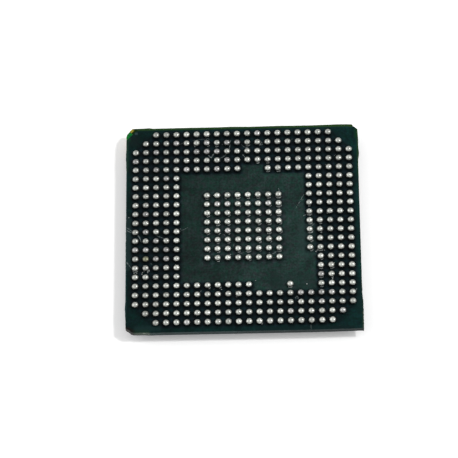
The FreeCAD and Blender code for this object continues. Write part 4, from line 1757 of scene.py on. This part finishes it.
    def build_mark(self) -> None:
        """Makes what is left of the gold corner mark, a plate whose top is a little smaller."""
        draft = Draft("gold_corner_mark")
        points = [*self.beside_mark()[::-1], *self.cut()]
        mid_x, mid_y = (sum(values) / len(points) for values in zip(*points))
        share = 1.0 - self.mark_bevel / max(math.hypot(x - mid_x, y - mid_y) for x, y in points)
        inner = [(mid_x + (x - mid_x) * share, mid_y + (y - mid_y) * share) for x, y in points]
        under = draft.ring(points, bottom_of("corner_mark"))
        draft.slab(under, draft.ring(inner, top_of("corner_mark")))
        made = draft.piece([CornerMarkFinish("corner_gold").make()], Slot.PLATED, smooth=False)
        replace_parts(made, "corner_mark")


@dataclass
class InnerParts:
    """The CAD pieces that stay, inside and under the board, which get their finishes here."""

    sides: tuple[str, ...] = ("far", "left", "near", "right")

    def dress(self, material: Material, *nodes: str) -> None:
        """Gives CAD nodes their finish.

        Args:
            material: The finish.
            *nodes: Names of the nodes.
        """
        for node in nodes:
            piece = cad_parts[node]
            if not piece.material_slots:
                piece.data.materials.append(material)
            for slot in piece.material_slots:
                slot.material = material
            log.info("%s: %s", node, material.name)

    def build(self) -> None:
        """Dresses every CAD node that stays."""
        fingers = ["bond_fingers_" + side for side in self.sides]
        wires = ["bond_wires_" + side for side in self.sides]
        copper = MetalFinish("copper_inner", (0.62, 0.30, 0.17), (0.40, 0.17, 0.09))
        gold = MetalFinish("gold_plating", (0.86, 0.60, 0.20), (0.64, 0.41, 0.12), rough=0.42)
        wire = MetalFinish("gold_wire", (0.90, 0.66, 0.26), (0.80, 0.55, 0.20), rough=0.25, grain=0.03)
        silicon = GrainFinish("silicon_die", (0.10, 0.10, 0.115), (0.14, 0.14, 0.16), 0.4, 0.28, 0.6, 0.001)
        adhesive = GrainFinish("die_adhesive", (0.30, 0.30, 0.31), (0.42, 0.42, 0.43), 0.08, 0.5)
        self.dress(copper.make(), "ground_sheet", "power_sheet")
        self.dress(gold.make(), "gate_strip", "die_paddle", "ground_ring", "power_ring", *fingers)
        self.dress(wire.make(), *wires)
        self.dress(silicon.make(), "die")
        self.dress(adhesive.make(), "die_attach")


@dataclass
class Studio:
    """The floor, the light and the camera."""

    position: Spot = (4.895, -160.513, 285.961)
    forward: Spot = (-0.01920447, 0.49124026, -0.87081239)
    upward: Spot = (0.01996359, 0.8709584, 0.49095103)
    lens: float = 262.871
    sensor: float = 36.0
    clip: Point = (0.01, 20.0)
    fill_low: float = 0.20
    fill_high: float = 0.45
    fill_lean: Spot = (0.06, 0.14, 0.0)
    white: float = 1.0
    floor_half: float = 1500.0
    floor_colour: Colour = (0.90, 0.90, 0.90)
    floor_lift: float = 0.235
    key_tilt: float = 34.5
    key_half_angle: float = 3.5
    lamp_distance: float = 600.0
    key_level: float = 0.277
    left_way: Spot = (-0.85, 0.06, 0.50)
    left_half_angle: float = 30.0
    left_level: float = 0.125
    right_way: Spot = (0.75, -0.15, 0.64)
    right_half_angle: float = 9.0
    right_level: float = 0.05

    def build_camera(self) -> None:
        """Sets the camera where the photograph was taken from."""
        data = bpy.data.cameras.new("camera")
        data.lens = self.lens
        data.sensor_width = self.sensor
        data.clip_start, data.clip_end = self.clip
        camera = put_in_scene("camera", data)
        back = -Vector(self.forward).normalized()
        right = Vector(self.upward).cross(back).normalized()
        turn = Matrix((right, back.cross(right), back)).transposed()
        camera.matrix_world = Matrix.Translation(Vector(self.position) * MM) @ turn.to_4x4()
        bpy.context.scene.camera = camera

    def seen(self, nodes: Nodes) -> NodeSocket:
        """One for what the camera sees, by itself or in gloss or glass, and nothing for other light.

        Args:
            nodes: The nodes to add to.

        Returns:
            The number's socket.
        """
        path = nodes.add("ShaderNodeLightPath").outputs
        first = nodes.maths("MAXIMUM", path["Is Camera Ray"], path["Is Glossy Ray"])
        return nodes.maths("MAXIMUM", first, path["Is Transmission Ray"])

    def build_world(self) -> None:
        """Sets a plain fill light with a white background."""
        world = bpy.data.worlds.new("studio")
        bpy.context.scene.world = world
        world.use_nodes = True
        nodes = Nodes(world.node_tree)
        way = nodes.add("ShaderNodeTexCoord").outputs["Generated"]
        height = nodes.add("ShaderNodeSeparateXYZ", {0: way}).outputs["Z"]
        above = nodes.maths("MAXIMUM", height, 0.0)
        level = nodes.maths("MULTIPLY_ADD", above, self.fill_high, self.fill_low)
        level = nodes.maths("ADD", level, nodes.reach("DOT_PRODUCT", way, self.fill_lean))
        fill = nodes.tree.nodes["Background"]
        nodes.feed(fill.inputs["Color"], WHITE)
        nodes.feed(fill.inputs["Strength"], level)
        backdrop = nodes.add("ShaderNodeBackground", {"Color": WHITE, "Strength": self.white})
        lights = {0: self.seen(nodes), 1: fill.outputs[0], 2: backdrop.outputs[0]}
        mix = nodes.add("ShaderNodeMixShader", lights)
        nodes.feed(nodes.tree.nodes["World Output"].inputs["Surface"], mix.outputs[0])

    def build_floor(self) -> None:
        """Makes the white floor, which keeps the chip's shadow."""
        half = self.floor_half * MM
        mesh = bpy.data.meshes.new("floor")
        corners = [(-half, -half, 0), (half, -half, 0), (half, half, 0), (-half, half, 0)]
        mesh.from_pydata(corners, [], [(0, 1, 2, 3)])
        material = bpy.data.materials.new("white_floor")
        material.use_nodes = True
        nodes = Nodes(material.node_tree)
        shader = nodes.tree.nodes["Principled BSDF"]
        nodes.feed(shader.inputs["Base Color"], self.floor_colour)
        nodes.feed(shader.inputs["Roughness"], 1.0)
        nodes.feed(shader.inputs["Specular IOR Level"], 0.0)
        lift = nodes.times(self.seen(nodes), self.floor_lift)
        glow = nodes.add("ShaderNodeEmission", {"Strength": lift})
        both = nodes.add("ShaderNodeAddShader", {0: shader.outputs[0], 1: glow.outputs[0]})
        nodes.feed(nodes.tree.nodes["Material Output"].inputs["Surface"], both.outputs[0])
        mesh.materials.append(material)
        put_in_scene("floor", mesh)

    def add_lamp(self, name: str, towards: Spot, half_angle: float, level: float) -> None:
        """Adds a round lamp that faces the chip.

        Args:
            name: Name of the lamp.
            towards: Direction from the chip to the lamp.
            half_angle: Half of the angle that it takes up, seen from the chip.
            level: How bright it alone makes a white surface that lies flat.
        """
        way = Vector(towards).normalized()
        data = bpy.data.lights.new(name, "AREA")
        data.shape = "DISK"
        data.size = 2.0 * self.lamp_distance * MM * math.tan(math.radians(half_angle))
        area = math.pi * data.size**2 / 4.0
        brightness = level / (math.sin(math.radians(half_angle)) ** 2 * way.z)
        data.energy = 4.0 * area * brightness
        lamp = put_in_scene(name, data)
        lamp.location = way * self.lamp_distance * MM
        lamp.rotation_mode = "QUATERNION"
        lamp.rotation_quaternion = way.to_track_quat("Z", "Y")

    def build(self) -> None:
        """Builds the whole studio."""
        bpy.context.scene.view_settings.view_transform = "Standard"
        self.build_camera()
        self.build_world()
        self.build_floor()
        tilt = math.radians(self.key_tilt)
        self.add_lamp("key_lamp", (math.sin(tilt), 0.0, math.cos(tilt)), self.key_half_angle, self.key_level)
        self.add_lamp("left_lamp", self.left_way, self.left_half_angle, self.left_level)
        self.add_lamp("right_lamp", self.right_way, self.right_half_angle, self.right_level)
        log.info("studio")


def main() -> None:
    """Builds the chip and the studio round it."""
    logging.basicConfig(level=logging.INFO, format="%(name)s: %(message)s")
    mask = MaskFinish("mask_ball_side").make()
    under = MaskFinish("mask_die_side", ball_side=False).make()
    SolderBalls().build()
    MouldedCap().build()
    relief = Relief()
    relief.build_pour(mask)
    relief.build_ball_side(mask)
    relief.build_die_side(under)
    board = PunchedBoard()
    board.build_masks(mask, under)
    board.build_laminate()
    board.build_mark()
    InnerParts().build()
    CornerBreak().build()
    FrayedEdges().build()
    marks = Marks()
    marks.build_scratches()
    marks.build_flux()
    Studio().build()


if __name__ == "__main__":
    main()
